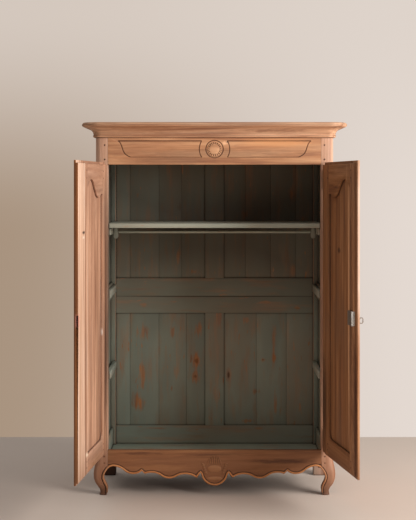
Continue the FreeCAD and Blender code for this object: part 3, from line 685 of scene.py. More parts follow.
@dataclass(frozen=True)
class StrippedWood(Finish):
    """Old fruitwood, caustic-stripped and never waxed again.

    To the eye it is matt and warm, with broad pale and brown streaks, thin late-wood lines,
    open pores, stretches that the stripper left grey, and painted shade with dirt in every quirk
    and joint.

    Attributes:
        pale: Colour of its light streaks.
        body: Its main colour.
        brown: Colour of its dark streaks, late wood and pores.
        grey: Colour where the stripper left it grey.
        shade_and_dirt: Colour of its painted shade in corners, grooves and quirks, and of its
            dirt.
        low: Its darker colour towards the floor: painted shade for the light falling off
            downwards, and patina.
        foot: Its colour at the floor itself, darker still.
        ring: Distance between growth rings.
        streak: Width of the broad streaks.
        pore: Width of the pores.
        roughness: Mean roughness.
        relief: Depth of its relief.
        greyed: The most that the grey covers.
        lines: The most that the late wood covers.
        reach: How near a wall must be to darken a face with painted shade and dirt.
        quirks: Heights of a moulding's quirks, darkened as painted shade.
    """

    pale: str = "#DEAE90"
    body: str = "#BE8E70"
    brown: str = "#93654C"
    grey: str = "#A18878"
    shade_and_dirt: str = "#432819"
    low: str = "#7F5236"
    foot: str = "#4A2A18"
    ring: float = 23.0
    streak: float = 34.0
    pore: float = 1.5
    roughness: float = 0.68
    relief: float = 0.3
    greyed: float = 0.35
    lines: float = 0.16
    reach: float = 9.0
    quirks: Tuple[float, ...] = ()

    def colours(self, tree: Tree, spot: Socket) -> Tuple[Socket, Socket]:
        """The wood's colour and the height of its figure.

        Args:
            tree: The node tree.
            spot: The plank's own coordinates.

        Returns:
            Colour and height sockets.
        """
        slow = stretched(tree, spot, 10000, 1000)
        # the wave's rings are 0.314 / scale metres apart
        rings = add(tree, "ShaderNodeTexWave",
                    {"Vector": slow, "Scale": 314 / self.ring, "Distortion": 9.0,
                     "Detail": 2.0, "Detail Scale": 0.35, "Detail Roughness": 0.5},
                    wave_type="RINGS", rings_direction="X", wave_profile="SAW").outputs["Fac"]
        broad = noise(tree, stretched(tree, spot, 1100, self.streak), 4.0, 0.62)
        narrow = noise(tree, stretched(tree, spot, 480, 7.0), 3.0, 0.55)
        fine = noise(tree, stretched(tree, spot, 70, self.pore), 2.0, 0.5)
        patches = noise(tree, stretched(tree, spot, 620, 150), 2.0, 0.5)
        late = fade(tree, rings, 0.6, 1.0, self.lines)
        tone = ramp(tree, broad, [(0.3, self.brown), (0.47, self.body), (0.68, self.pale)])
        tone = layered(tree, blend(tree, late, tone, self.brown),
                       (narrow, 0.55, 0.76, 0.3, self.brown),
                       (narrow, 0.44, 0.28, 0.2, self.pale),
                       (patches, 0.5, 0.7, self.greyed, self.grey),
                       (fine, 0.56, 0.74, 0.3, self.brown))
        return tone, math_node(tree, "ADD", math_node(tree, "MULTIPLY", late, 0.6), fine)

    def layers(self, tree: Tree, plank: Plank) -> Tuple[Socket, Socket]:
        """Lay the wood, darker towards the floor partly as painted shade, its quirks in painted
        shade, its marks, and painted shade with dirt in its corners.

        Args:
            tree: The node tree.
            plank: The lie of the piece.

        Returns:
            Its colour, and the height of its figure.
        """
        tone, relief = self.colours(tree, plank.along(tree))
        height = risen(tree)
        # darker towards the floor, partly painted shade for the light falling off downwards, and
        # darker still at the floor itself
        tone = layered(tree, tone, (height, 0.46, 0.12, 0.8, self.low),
                       (height, 0.085, 0.0, 0.75, self.foot))
        # painted shade: a dark line along each quirk of the moulding
        for quirk in self.quirks:
            away = math_node(tree, "ABSOLUTE", math_node(tree, "SUBTRACT", height, quirk * MM))
            tone = layered(tree, tone, (away, 2.6 * MM, 0.8 * MM, 0.45, self.shade_and_dirt))
        tone = marked(tree, tone, plank, self.shade_and_dirt, figure(tree, plank))
        # ambient occlusion darkens corners and grooves: painted shade, with dirt
        return shade_and_dirt_in_hollows(tree, tone, self.reach, self.shade_and_dirt, 0.85), relief


@dataclass(frozen=True)
class WornPaint(Finish):
    """Grey-green distemper over softwood, rubbed through along the grain.

    To the eye it is chalky and nearly even, with brushed streaks, and flecks of orange wood
    where it has rubbed through and round the knots.

    Attributes:
        green: Its main colour.
        brown: Colour of its warm clouds.
        deep: Colour of its cool clouds and brush marks.
        painted_brown_shade: Its browner, darker colour high on the right: painted shade, tinted as
            by light bounced off the wood.
        shade_and_dirt: Colour of its painted shade and dirt in corners.
        knot: Colour of the knots that stain it.
        under: The wood below it.
        fleck_long: Length of the rubbed flecks.
        fleck_wide: Width of the rubbed flecks.
        wear: How rare they are, 0 to 1.
        thin: The most that the wood shows through a thin coat.
        lowest: Height in metres below which the wood is bare.
        roughness: Mean roughness.
    """

    green: str = "#949B8D"
    brown: str = "#918C7B"
    deep: str = "#878E82"
    painted_brown_shade: str = "#6A6456"
    shade_and_dirt: str = "#2A241C"
    knot: str = "#4A2A1A"
    under: StrippedWood = StrippedWood("#CE8A54", "#B47240", "#80492C")
    fleck_long: float = 95.0
    fleck_wide: float = 17.0
    wear: float = 0.675
    thin: float = 0.3
    lowest: float = 0.0
    roughness: float = 0.88

    def layers(self, tree: Tree, plank: Plank) -> Tuple[Socket, Socket]:
        """Lay the coat, its streaks, painted shade high on the right, its rubs, knots and marks,
        and painted shade with dirt in its corners.

        Args:
            tree: The node tree.
            plank: The lie of the piece.

        Returns:
            Its colour, and the height of its brush marks.
        """
        spot = plank.along(tree)
        wood = self.under.colours(tree, spot)[0]
        cloud = noise(tree, stretched(tree, spot, 620, 210), 2.0, 0.5)
        brushed = noise(tree, stretched(tree, spot, 300, 3.5), 3.0, 0.6)
        coat = ramp(tree, cloud, [(0.3, self.deep), (0.5, self.green), (0.7, self.brown)])
        rubbed = noise(tree, stretched(tree, spot, self.fleck_long, self.fleck_wide), 4.0, 0.6)
        where = noise(tree, stretched(tree, spot, 400, 120), 1.0, 0.5)
        rubbed = math_node(tree, "ADD", rubbed,
                           math_node(tree, "MULTIPLY", fade(tree, where, 0.4, 0.7), 0.07))
        bare = fade(tree, rubbed, self.wear, self.wear + 0.06, 0.7)
        knots = add(tree, "ShaderNodeTexVoronoi",
                    {"Vector": stretched(tree, spot, 620, 230), "Scale": 1.0, "Randomness": 1.0}
                    ).outputs["Distance"]
        halo = fade(tree, knots, 0.1, 0.04, 0.45)
        # painted shade, browner, high on the right of the case
        shade_share = math_node(tree, "MULTIPLY", fade(tree, risen(tree), 0.75, 1.25),
                          fade(tree, axis(tree, in_place(tree), "X"), -2.2, 0.6, 0.7))
        thin = noise(tree, stretched(tree, spot, 260, 45), 3.0, 0.6)
        coat = layered(tree, coat, (brushed, 0.45, 0.8, 0.35, self.deep))
        coat = layered(tree, blend(tree, shade_share, coat, self.painted_brown_shade),
                       (thin, 0.48, 0.72, self.thin, wood))
        tone = blend(tree, math_node(tree, "MAXIMUM", bare, halo), coat, wood)
        tone = layered(tree, tone, (knots, 0.045, 0.02, 0.75, self.knot),
                       (risen(tree), self.lowest, self.lowest - 0.01, 1.0, wood))
        tone = marked(tree, tone, plank, wood, rubbed)
        # bare wood lies lower than the coat
        height = math_node(tree, "SUBTRACT", brushed, math_node(tree, "MULTIPLY", bare, 0.8))
        # ambient occlusion darkens corners: painted shade, with dirt
        return shade_and_dirt_in_hollows(tree, tone, 14.0, self.shade_and_dirt, 0.8), height


@dataclass(frozen=True)
class Metal(Finish):
    """Forged or cast metal, handled for two centuries.

    To the eye it is a dark or dull sheen with rust or tarnish in its low places.

    Attributes:
        clean: Its colour where hands keep it bright.
        dull: Its colour where it has tarnished.
        roughness: Mean roughness.
        metallic: How metallic it shows through its tarnish, 0 to 1.
        spot: Size of the tarnished spots.
    """

    clean: str = "#5B534C"
    dull: str = "#3A2C24"
    roughness: float = 0.45
    metallic: float = 0.85
    spot: float = 6.0

    def layers(self, tree: Tree, plank: Plank) -> Tuple[Socket, Socket]:
        """The metal with its tarnish."""
        spots = noise(tree, stretched(tree, in_place(tree), self.spot, self.spot), 4.0, 0.6)
        return ramp(tree, spots, [(0.35, self.dull), (0.62, self.clean)]), spots


@dataclass(frozen=True)
class Limewash(Finish):
    """A limewashed floor: to the eye plain, pale and chalky, with faint clouds.

    Attributes:
        pale: Its main colour.
        cloudy: Colour of its clouds.
        roughness: Mean roughness.
        relief: Depth of its relief.
    """

    pale: str = "#D4C5B9"
    cloudy: str = "#B8AA9F"
    roughness: float = 0.85
    relief: float = 0.0

    def layers(self, tree: Tree, plank: Plank) -> Tuple[Socket, Socket]:
        """The floor with its clouds."""
        cloud = noise(tree, stretched(tree, in_place(tree), 900, 900), 3.0, 0.5)
        return layered(tree, self.pale, (cloud, 0.3, 0.7, 0.12, self.cloudy)), cloud


BARE = StrippedWood()
# darker woods for the faces inside carved grooves: painted shade
GROOVE_SHADE_WOOD = StrippedWood("#6E452C", "#5B3722", "#422616", "#553A2A", low="#3E2214", greyed=0.0)
FINE_GROOVE_SHADE_WOOD = StrippedWood("#9A6644", "#835337", "#653C26", "#755444", greyed=0.0)
CARVED_WOOD = StrippedWood("#EDBC92", "#D6A076", "#AC7654", "#B29076", reach=2.0)
SHELL_WOOD = StrippedWood("#DFA87E", "#C28D64", "#906044", "#94745E", low="#95623C",
                          greyed=0.2, reach=3.0)
# a lighter wood than the apron's for its bead: painted highlight
LIT_BEAD_WOOD = StrippedWood("#F2B27A", "#DC9860", "#B07444", "#B88C66", low="#B87440",
                         greyed=0.15, reach=1.5)
FOOT_BEAD = StrippedWood("#DFA87A", "#C58D62", "#9A6444", "#A88468", low="#A66E48",
                         greyed=0.15, reach=1.5)
CORNICE_WOOD = StrippedWood("#F0C09A", "#D09E7A", "#A26E50", streak=22.0,
                            quirks=(2119.5, 2073.0, 2061.0))
FRIEZE_WOOD = StrippedWood("#E3AF84", "#C68D64", "#99654A", "#A6846A")
POST_WOOD = StrippedWood("#F2C8AC", "#D8A98C", "#AE7F66", "#B69A88", low="#84502E")
APRON_WOOD = StrippedWood("#BC895C", "#976540", "#5E3A26", "#7A5B48", low="#8A5836",
                          streak=19.0, greyed=0.3, lines=0.3)
# the right door's wood, darkened as painted shade, and its lip's, lighter: painted light on the
# lit edge
PAINTED_SHADE_WOOD = StrippedWood("#B58259", "#99683F", "#714731", "#7F604C", greyed=0.4, lines=0.1)
LIT_LIP_WOOD = StrippedWood("#D09A6E", "#B27D55", "#815338", "#96725A", greyed=0.25)
HANDLED = StrippedWood("#F0CDB4", "#D8AD90", "#AC8064", "#B8A08E")
# the false post's edge, turned from the lamp: painted shade
SHADED_EDGE_WOOD = StrippedWood("#B4733F", "#985A2C", "#753F1E", "#86603F")
# the underside: dusty, and darker as painted shade beneath the case
DUSTY_SHADE_WOOD = StrippedWood("#5A4430", "#443122", "#302117", "#52463A", low="#443122")
PEG_WOOD = StrippedWood("#7A5038", "#5F3C28", "#432819")
PAINT = WornPaint()
POST_PAINT = WornPaint(under=StrippedWood("#94806F", "#7A6859", "#574538", low="#6A584A"),
                       lowest=0.19)
# a lighter copy of the inside paint for the shelf and rod: painted light
LIT_SHELF_PAINT = WornPaint("#B9C2B4", "#B5B5A4", "#A3ADA2", "#B2B6A6", wear=0.69, thin=0.15)
CLEAT_PAINT = WornPaint("#A3AA9E", "#A09C8E", "#8E9589", "#979182")
FLOOR_PAINT = WornPaint("#A5AFA1", "#A19E8E", "#95A195")
IRON = Metal()
BRIGHT_IRON = Metal("#9A9088", "#6E645C", metallic=0.3)
STEEL = Metal("#D6D3CE", "#A8A39C", roughness=0.4, metallic=0.2)
BRASS = Metal("#B08D4F", "#5F4A2A", roughness=0.4)


RUB = ""  # no colour of its own: it bares the wood under a coat
KNOT = "#6A442C"
# the dark of cracks and open joints, and of painted shade under the shelf
DARK_CRACK_AND_SHADE = "#1E1812"
BACK = 583.0  # the face of the back boards
RAIL = 574.0  # the face of the rails and muntins between them
MARKS = tuple(Mark(*row) for row in (
    # rubs and knots on the lower boards of the back
    (-448, BACK, 870, 74, 92), (-482, BACK, 442, 84, 120, RUB, 0.9, 2.8),
    (-456, BACK, 612, 34, 190, RUB, 0.7), (-272, BACK, 879, 31, 80), (-122, BACK, 888, 55, 92),
    (-127, BACK, 692, 66, 92, RUB, 0.8), (-132, BACK, 600, 66, 84, RUB, 0.7),
    (-127, BACK, 694, 26, 22, KNOT), (-132, BACK, 600, 22, 18, KNOT),
    (-253, BACK, 627, 31, 123, RUB, 0.4), (17, RAIL, 944, 31, 111),
    (-11, RAIL, 479, 37, 123, RUB, 0.35), (185, BACK, 946, 37, 37), (352, BACK, 814, 25, 277),
    (287, BACK, 702, 74, 31), (352, BACK, 713, 37, 49), (287, BACK, 702, 22, 18, KNOT),
    (241, BACK, 507, 49, 37), (361, BACK, 424, 18, 135), (194, BACK, 326, 92, 25),
    (-365, RAIL, 283, 166, 18, RUB, 0.6, 2.0), (259, RAIL, 283, 55, 18),
    # the upper boards and the middle rails
    (455, BACK, 1726, 31, 111), (174, BACK, 1595, 55, 55), (-234, BACK, 1335, 25, 92),
    (-141, BACK, 1242, 49, 37), (297, RAIL, 1057, 86, 25), (492, RAIL, 1020, 37, 37),
    (-448, RAIL, 1039, 49, 37), (-232, BACK, 1640, 34, 60, KNOT, 0.5),
    # the open joint between the middle rails
    (-14, RAIL, 1093, 1300, 7, DARK_CRACK_AND_SHADE, 0.9, 0.0, 20, True),
    # painted shade under the shelf, and a grey stretch of the frieze
    (-14, 577, 1504, 1300, 36, DARK_CRACK_AND_SHADE, 0.75, 0.0, 26, True),
    (-14, 577, 1490, 1400, 600, "#3A2E24", 0.55, 0.0, 26, True),
    (-14, 102, 1958, 1300, 62, "#8E6C54", 0.45, 1.2),
    # its warm right-hand top, partly a painted highlight, and its brown left-hand foot, partly
    # painted shade
    (350, 102, 2022, 560, 80, "#F4AC70", 0.6, 0.4),
    (-300, 102, 1915, 640, 60, "#8A6248", 0.55, 1.0),
    # a lighter band that softens its lower carved line
    (-14, 102, 1936, 1150, 10, "#B5845F", 0.7, 0.5, 20, True),
    # painted shade on the step under the cornice
    (-240, 60, 2061, 960, 26, "#96603E", 0.6, 0.5, 160, True),
    # a dark line along the cornice's top, and dark streaks in its cove
    (-14, 300, 2131, 1700, 7, "#86583E", 0.6, 0.5, 900, True),
    (-370, 40, 2092, 640, 54, "#96613C", 0.45, 1.4, 200),
    (330, 40, 2086, 420, 22, "#7E4E34", 0.5, 2.4, 200),
    # the apron's brown streaks and rubbed edge
    (390, 102, 198, 380, 32, "#43261A", 0.6, 1.8),
    (-440, 102, 244, 300, 20, "#52301E", 0.55, 1.8),
    (-40, 102, 236, 420, 16, "#52301E", 0.45, 1.8),
    (-330, 102, 160, 440, 44, "#A8744A", 0.5, 1.6),
    (310, 102, 150, 380, 38, "#A06C42", 0.45, 1.6),
    # painted shade and cracks on the left side
    (-645, 400, 1640, 60, 960, "#3E372E", 0.55, 1.2, 600),
    (-648, 488, 809, 30, 188, DARK_CRACK_AND_SHADE, 0.85, 0.8, 12),
    (-648, 488, 1221, 30, 127, DARK_CRACK_AND_SHADE, 0.85, 0.8, 12),
    # painted shadow of the doors on the posts beside them
    (-624, 125, 1160, 14, 1560, "#463426", 0.8, 0.3, 120, True),
    (600, 90, 1160, 18, 1560, "#6B4630", 0.85, 0.3, 60, True),
    # a hole, its plugged neighbour, a scratch and the keeper's slot of the left door
    (-690, -494, 1532, 30, 21, "#3A2418", 0.95, 0.5, 78),
    (-690, -494, 1506, 30, 18, "#F4E0CC", 0.7, 0.6, 60),
    (-644, -41, 957, 30, 47, "#E8DACE", 0.9, 0.3, 12),
    (-706, -612, 1087, 40, 78, "#E09484", 0.9, 0.4, 60, True),
    # a painted highlight on the lower corner of its panel
    (-682, -418, 366, 40, 28, "#F2DCC2", 0.8, 2.0, 70),
    # painted shade along the step beside its false post, and a brown tone on its panel
    (-686, -455, 1030, 40, 1760, "#7A4C32", 0.75, 0.7, 26, True),
    (-668, -215, 1250, 200, 1300, "#9A6A50", 0.32, 1.6, 190),
    # a painted highlight beside that step, and a brown line on the panel
    (-681, -410, 1000, 40, 1720, "#F4D2B8", 0.7, 0.8, 14, True),
    (-675, -272, 920, 40, 1500, "#855A44", 0.5, 1.6, 30, True),
    # painted shade beside its hinge
    (-631, 36, 1160, 40, 1540, "#5E3A26", 0.75, 0.6, 84, True),
    (-631, 30, 800, 40, 800, "#4E2E1E", 0.7, 0.6, 96),
    # a brown tone high on its panel
    (-668, -250, 1860, 200, 760, "#8E644E", 0.42, 1.0, 720),
    # the brown foot of the left door, painted shade on the foot behind it, and painted light on
    # the right rear foot
    (-668, -215, 235, 120, 210, "#86603F", 0.6, 1.2, 380),
    (-645, 560, 50, 170, 280, "#4A2816", 0.8, 0.4, 220),
    (626, 560, 50, 90, 240, "#C8A08A", 0.6, 0.4, 220),
    # a knot, and a painted highlight and painted shade along the edge of the panel of the right
    # door
    (664, -188, 1423, 40, 38, "#3A2216", 0.8, 1.4, 62),
    (698, -350, 1130, 40, 1560, "#E8B488", 1.0, 0.5, 24, True),
    (702, -418, 1110, 40, 1600, "#4A2C1C", 0.6, 1.4, 44, True),
    # a warm patch low on the panel, and painted shade low beside the right hinge
    (671, -246, 700, 60, 900, "#A06C48", 0.6, 1.2, 60),
    (606, 35, 560, 60, 700, "#38200F", 0.75, 0.9, 110),
    # a painted highlight on the door's lip, and a dark smear below it
    (736, -478, 1470, 40, 1020, "#FFE2CC", 0.65, 0.5, 26, True),
    (724, -446, 560, 60, 1100, "#643A24", 0.85, 0.8, 56),
))


# ------------------------------------------------------------------ pieces
@dataclass
class Workshop:
    """Dresses pieces and hands them to the frame.

    Attributes:
        count: How many planks it has laid out.
        done: The names of the finished pieces.
    """

    count: int = 0
    done: List[str] = field(default_factory=list)

    def plank(self, node: str, grain: Grain, swing: float) -> Plank:
        """Lay out the wood of a frame node.

        Args:
            node: The node.
            grain: The way its fibres run.
            swing: How far it has turned about the upright axis, in degrees.

        Returns:
            Its lie, with the marks that reach it.
        """
        low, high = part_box(node)
        self.count += 1
        marks = tuple(m for m in MARKS
                      if all(lo - size * MM / 2 < c * MM < hi + size * MM / 2
                             for lo, c, hi, size in zip(low, (m.x, m.y, m.z), high,
                                                        (m.wide, m.deep, m.tall))))
        return Plank(tuple((low + high) / 2), grain, swing, self.count, marks)

    def dress(self, obj: Object, finishes: Sequence[Finish], plank: Plank) -> None:
        """Give an object one material for each finish.

        Args:
            obj: The object.
            finishes: The finishes.
            plank: The lie of the piece.
        """
        obj.data.materials.clear()
        for kind in finishes:
            label = "%s_%s" % (type(kind).__name__.lower(), obj.name)
            obj.data.materials.append(kind.material(label, plank))

    def worn(self, node: str, grain: Grain, finishes: Sequence[Finish] = (BARE,),
             body: str = "carcass", swing: float = 0.0,
             width: float = 1.6, inner: Optional[FaceTest] = None,
             tools: Sequence[Object] = (), cut: StrippedWood = GROOVE_SHADE_WOOD,
             split: Optional[float] = None) -> None:
        """Stand a worn copy of a node in its place.

        Args:
            node: The frame node.
            grain: The way its fibres run.
            finishes: Its finish, and a second for its inner faces.
            body: The body it rides on.
            swing: How far it has turned about the upright axis, in degrees.
            width: The width of its worn edges.
            inner: Says whether a face takes the second finish.
            tools: Bars that cut its carving.
            cut: The darker finish inside the carving: painted shade in its grooves.
            split: Where its faces part sideways, to take two finishes.
        """
        obj = copy_node(node)
        round_edges(obj, width)
        if split is not None:
            with shaping(obj):
                bpy.ops.mesh.bisect(plane_co=place(split, 0, 0), plane_no=(1, 0, 0))
        cuts = carve(obj, tools)
        if tools:
            smooth(obj, 20.0)
            # the faces inside the grooves take the darker finish: painted shade
            finishes = (*finishes, cut)
        self.dress(obj, finishes, self.plank(node, grain, swing))
        for number in cuts:
            obj.data.polygons[number].material_index = len(finishes) - 1
        if inner is not None:
            for polygon in obj.data.polygons:
                polygon.material_index = 1 if inner(polygon) else 0
        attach(obj, body)
        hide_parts(node)
        self.note(obj)

    def carved(self, obj: Object, wood: StrippedWood, middle: Sequence[float],
               seed: int) -> None:
        """Hand over a carving of the front frame, made from nothing.

        Args:
            obj: The carving.
            wood: Its finish.
            middle: Its middle, in frame metres.
            seed: A number that sets its figure apart.
        """
        self.dress(obj, (wood,), Plank(tuple(middle), Grain.ACROSS, 0.0, seed))
        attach(obj, "carcass")
        self.note(obj)

    def kept(self, node: str, kind: Finish, grain: Grain = Grain.UP, swing: float = 0.0) -> None:
        """Leave a node's own shape on show, in a finish."""
        self.dress(frame["nodes"][node], (kind,), self.plank(node, grain, swing))
        self.note(frame["nodes"][node])

    def note(self, obj: Object) -> None:
        """Report a finished piece."""
        self.done.append(obj.name)
        log.info("%s: %d faces", obj.name, len(obj.data.polygons))


def facing(x: float, y: float, z: float) -> FaceTest:
    """A test for faces that look a given way, to within 57 degrees."""
    return lambda polygon: polygon.normal.dot(Vector((x, y, z))) > 0.55


@dataclass
class FrontFrame:
    """Posts, frieze, apron and cornice.

    Attributes:
        groove: Radius of the carver's gouge for lines, in millimetres.
        panel_top: Height of the frieze panels' upper line.
        panel_end: The shaped outer end of the right frieze panel.
        rose: Middle of the rosette.
        rose_r: Radius of its ring.
        bow_r: Radius of the bows either side of it.
        petals: Number of its petals.
        petal_r: How far they stand from its middle.
        bed: Radius of the bar that cuts their bed.
        boss: Radius of the rosette's boss.
        bead: Width of the bead along the apron's lower edge.
        open_half: Half the width between the posts.
        apron_end: The outer end of the apron's outline, right of the middle, as arcs.
        apron_wave: The waves between there and the lobe.
        apron_cusp: The bead's sharp bend beside the lobe.
        lobe_r: Radius of the lobe.
        lobe_z: Height of its centre.
        foot_line: The carved line down the right foot.
        foot_gap: From that line to the middle of the foot's bead.
    """

    groove: float = 2.9
    panel_top: float = 2029.0
    panel_end: Tuple[Flat, ...] = ((550, 2029), (537, 2015), (528, 1992), (521, 1971),
                                   (510, 1954), (494, 1943), (481, 1937))
    rose: Flat = (0.0, 1982.3)
    rose_r: float = 49.6
    bow_r: float = 87.0
    petals: int = 20
    petal_r: float = 34.0
    bed: float = 6.6
    boss: float = 30.0
    bead: float = 11.0
    open_half: float = 610.0
    apron_end: Tuple[Flat, ...] = ((598, 165), (585.5, 169.5), (573, 170), (543, 161.5),
                                   (517, 145), (468.5, 125), (418, 140))
    apron_wave: Tuple[Flat, ...] = ((398, 126), (349, 132), (303.5, 114.5), (262, 100),
                                    (219, 111), (198, 120), (175, 124), (137, 120), (103, 103.5))
    apron_cusp: Tuple[Flat, ...] = ((104, 111), (95, 122), (87, 132), (79.5, 139.5), (74.5, 131))
    lobe_r: float = 77.0
    lobe_z: float = 137.0
    foot_line: Tuple[Point, ...] = ((596, -0.4, 176), (608, -1.0, 173.5), (618, -4.6, 166),
                                    (628, -7.4, 153), (637, -9.3, 138), (642, -10.0, 122),
                                    (643, -9.4, 104), (638, -5.6, 85), (630, 0.8, 66),
                                    (624, 8.0, 50), (622.5, 14.5, 34), (624, 18.6, 18),
                                    (627, 17.6, 4))
    foot_gap: float = 7.4

    def frieze_tools(self) -> List[Object]:
        """Lay out the bars for the frieze's panels, bows, ring and rosette bed.

        Returns:
            The bars.
        """
        depth = 0.3
        tools: List[Object] = []
        end = eased(self.panel_end)[::-1]
        reach = math.degrees(math.asin((self.panel_top - self.rose[1]) / self.bow_r))
        bow = arc_points(self.rose, self.bow_r, reach, -reach, 14)
        # each line's path, the radius of its bar, and how far that runs behind the face
        lines = ((end + bow, self.groove, depth), ((end[-1], bow[0]), self.groove + 0.5, 0.35),
                 ((end[0], bow[-1]), 2.2, -depth))
        for side in (-1, 1):
            for path, radius, y in lines:
                tools.append(bar([place(side * x, y, z) for x, z in path], radius))
        # the ring, and the bed in which the petals lie, in 48 steps
        for across, radius, y in ((self.rose_r, self.groove, depth),
                                  (self.petal_r, self.bed, -2.6)):
            ring = arc_points(self.rose, across, 0, 352.5, 48)
            tools.append(bar([place(x, y, z) for x, z in ring], radius, True))
        return tools

    def rosette(self, shop: Workshop) -> None:
        """Carve a ring of petals round a low boss, inside the frieze's ring.

        Args:
            shop: The workshop.
        """
        middle = Vector(place(self.rose[0], 0, self.rose[1]))
        clear_selection()
        # a petal is a tapered peg whose outer end is rounded in three steps
        bpy.ops.mesh.primitive_cone_add(
            vertices=10, radius1=4.2 * MM, radius2=2.8 * MM, depth=9 * MM,
            location=middle + Vector((0, 0, self.petal_r * MM)), rotation=(math.pi, 0, 0))
        petal = bpy.context.object
        freeze(petal)
        top = max(v.co.z for v in petal.data.vertices)
        choose(petal, "polygons", lambda f: f.normal.z > 0.9 and f.center.z > top - MM)
        with shaping(petal, ""):
            for rise, narrow in ((1.5, 0.82), (1.0, 0.62), (0.4, 0.5)):
                bpy.ops.mesh.extrude_region_move(
                    TRANSFORM_OT_translate={"value": (0, 0, rise * MM)})
                bpy.ops.transform.resize(value=(narrow, narrow, 1.0))
            bpy.ops.mesh.select_all(action="SELECT")
            bpy.ops.transform.resize(value=(1.0, 0.8, 1.0), center_override=middle)
        pieces = [petal]
        for i in range(1, self.petals):
            activate(petal)
            bpy.ops.object.duplicate()
            pieces.append(bpy.context.object)
            with shaping(pieces[-1]):
                bpy.ops.transform.rotate(value=2 * math.pi * i / self.petals, orient_axis="Y",
                                         center_override=middle)
        clear_selection()
        bpy.ops.mesh.primitive_uv_sphere_add(segments=32, ring_count=12, radius=self.boss * MM,
                                             location=middle)
        boss = bpy.context.object
        boss.scale = (1.0, 0.09, 1.0)
        freeze(boss)
        rose = join(pieces + [boss], "frieze_rosette")
        smooth(rose, 50)
        shop.carved(rose, CARVED_WOOD, middle, 3)

    def apron_edge(self) -> List[Flat]:
        """Follow the apron's lower edge with the middle of its bead.

        Returns:
            The bead's points, from left to right.
        """
        half = self.bead / 2
        end = [(self.open_half + 4, 157), *three_point_arcs(self.apron_end), (410, 152)]
        line: List[Flat] = []
        for part in (end, three_point_arcs(self.apron_wave)):
            line += beside([(-x, z) for x, z in part], half)
        lobe = arc_points((0, self.lobe_z), self.lobe_r - half, -9, -90, 16)[:-1]
        line += [(-x, z) for x, z in (*self.apron_cusp, *lobe)]
        return line + [(0, self.lobe_z - self.lobe_r + half)] + [(-x, z) for x, z in line[::-1]]

    def apron_tools(self) -> List[Object]:
        """Lay out the bar for the line above the apron's bead.

        Returns:
            The bar, alone in a list.
        """
        line = [p for p in beside(self.apron_edge(), self.bead / 2 + 2.0)
                if abs(p[0]) < self.open_half - 8]
        line = [(-self.open_half - 6, line[0][1] - 1), *line,
                (self.open_half + 6, line[-1][1] - 1)]
        return [bar([place(x, 0.4, z) for x, z in line], self.groove)]

    def foot_bead(self, side: int) -> List[Point]:
        """Follow the line down a foot with the middle of its bead.

        Args:
            side: -1 for the left foot, 1 for the right one.

        Returns:
            The bead's points, downwards.
        """
        line: List[Point] = []
        for a, b, c in zip(self.foot_line, self.foot_line[1:], self.foot_line[2:]):
            run = math.hypot(c[0] - a[0], c[2] - a[2])
            line.append((side * (b[0] + self.foot_gap * (c[2] - a[2]) / run), b[1] + 2.0,
                         b[2] - self.foot_gap * (c[0] - a[0]) / run))
        return line

    def bead_strip(self, shop: Workshop, name: str, wood: StrippedWood,
                   points: Sequence[Point]) -> None:
        """A rounded bead along a path on the face of the wood.

        Args:
            shop: The workshop.
            name: The bead's name.
            wood: Its finish.
            points: Its path in carcass millimetres.
        """
        strip = bar([place(*p) for p in points], self.bead / 2)
        with shaping(strip):
            bpy.ops.mesh.remove_doubles(threshold=0.01 * MM)
            bpy.ops.mesh.normals_make_consistent(inside=False)
        strip.name = name
        smooth(strip, 50)
        shop.carved(strip, wood, strip.data.vertices[0].co, 5)

    def shell(self, shop: Workshop) -> None:
        """Carve the apron's low shell: a boss, a crescent, two ribbed scrolls and a fan.

        Args:
            shop: The workshop.
        """
        lumps = [((0, 156), (40, 5.0, 22), 0.0, 1.0), ((0, 101), (46, 4.0, 12), 0.0, 1.0)]
        lumps += [((side * (66 - 3.4 * i), 184 - 10 * i), (10.5, 4.6, 4.0), side * 24.0, 1.0)
                  for side in (-1, 1) for i in range(6)]
        for i in range(-3, 4):
            turn = math.radians(90 + i * 6.5)
            lumps.append(((96 * math.cos(turn), 112 + 96 * math.sin(turn)), (25.0, 4.2, 4.2),
                          math.degrees(-turn), 0.6))
        shell = join([self.blob(*lump) for lump in lumps], "apron_shell")
        smooth(shell, 60)
        shop.carved(shell, SHELL_WOOD, place(0, 0, 150), 6)

    def blob(self, middle: Flat, size: Point, turn: float, taper: float) -> Object:
        """A rounded lump, narrower towards one end.

        Args:
            middle: Its middle on the face.
            size: Half its length, how far it stands proud, and half its width.
            turn: How far it is turned on the face, in degrees.
            taper: The width of its inner end as a share of the outer one.

        Returns:
            The lump.
        """
        clear_selection()
        spot = Vector(place(middle[0], 0, middle[1]))
        bpy.ops.mesh.primitive_uv_sphere_add(segments=14, ring_count=10, radius=MM, location=spot,
                                             rotation=(0, math.pi / 2, 0))
        lump = bpy.context.object
        freeze(lump)
        with shaping(lump):
            bpy.ops.transform.resize(value=size, center_override=spot)
        choose(lump, "vertices", lambda v: v.co.x < spot.x - 0.1 * size[0] * MM)
        with shaping(lump, ""):
            bpy.ops.transform.resize(value=(1.0, 1.0, taper), center_override=spot)
            bpy.ops.mesh.select_all(action="SELECT")
            bpy.ops.transform.rotate(value=math.radians(turn), orient_axis="Y",
                                     center_override=spot)
        return lump

    def build(self, shop: Workshop) -> None:
        """Make the front frame and the cornice.

        Args:
            shop: The workshop.
        """
        shop.worn("frieze_rail", Grain.ACROSS, (FRIEZE_WOOD,), tools=self.frieze_tools(),
                  cut=FINE_GROOVE_SHADE_WOOD)
        self.rosette(shop)
        shop.worn("apron_rail", Grain.ACROSS, (APRON_WOOD,), tools=self.apron_tools())
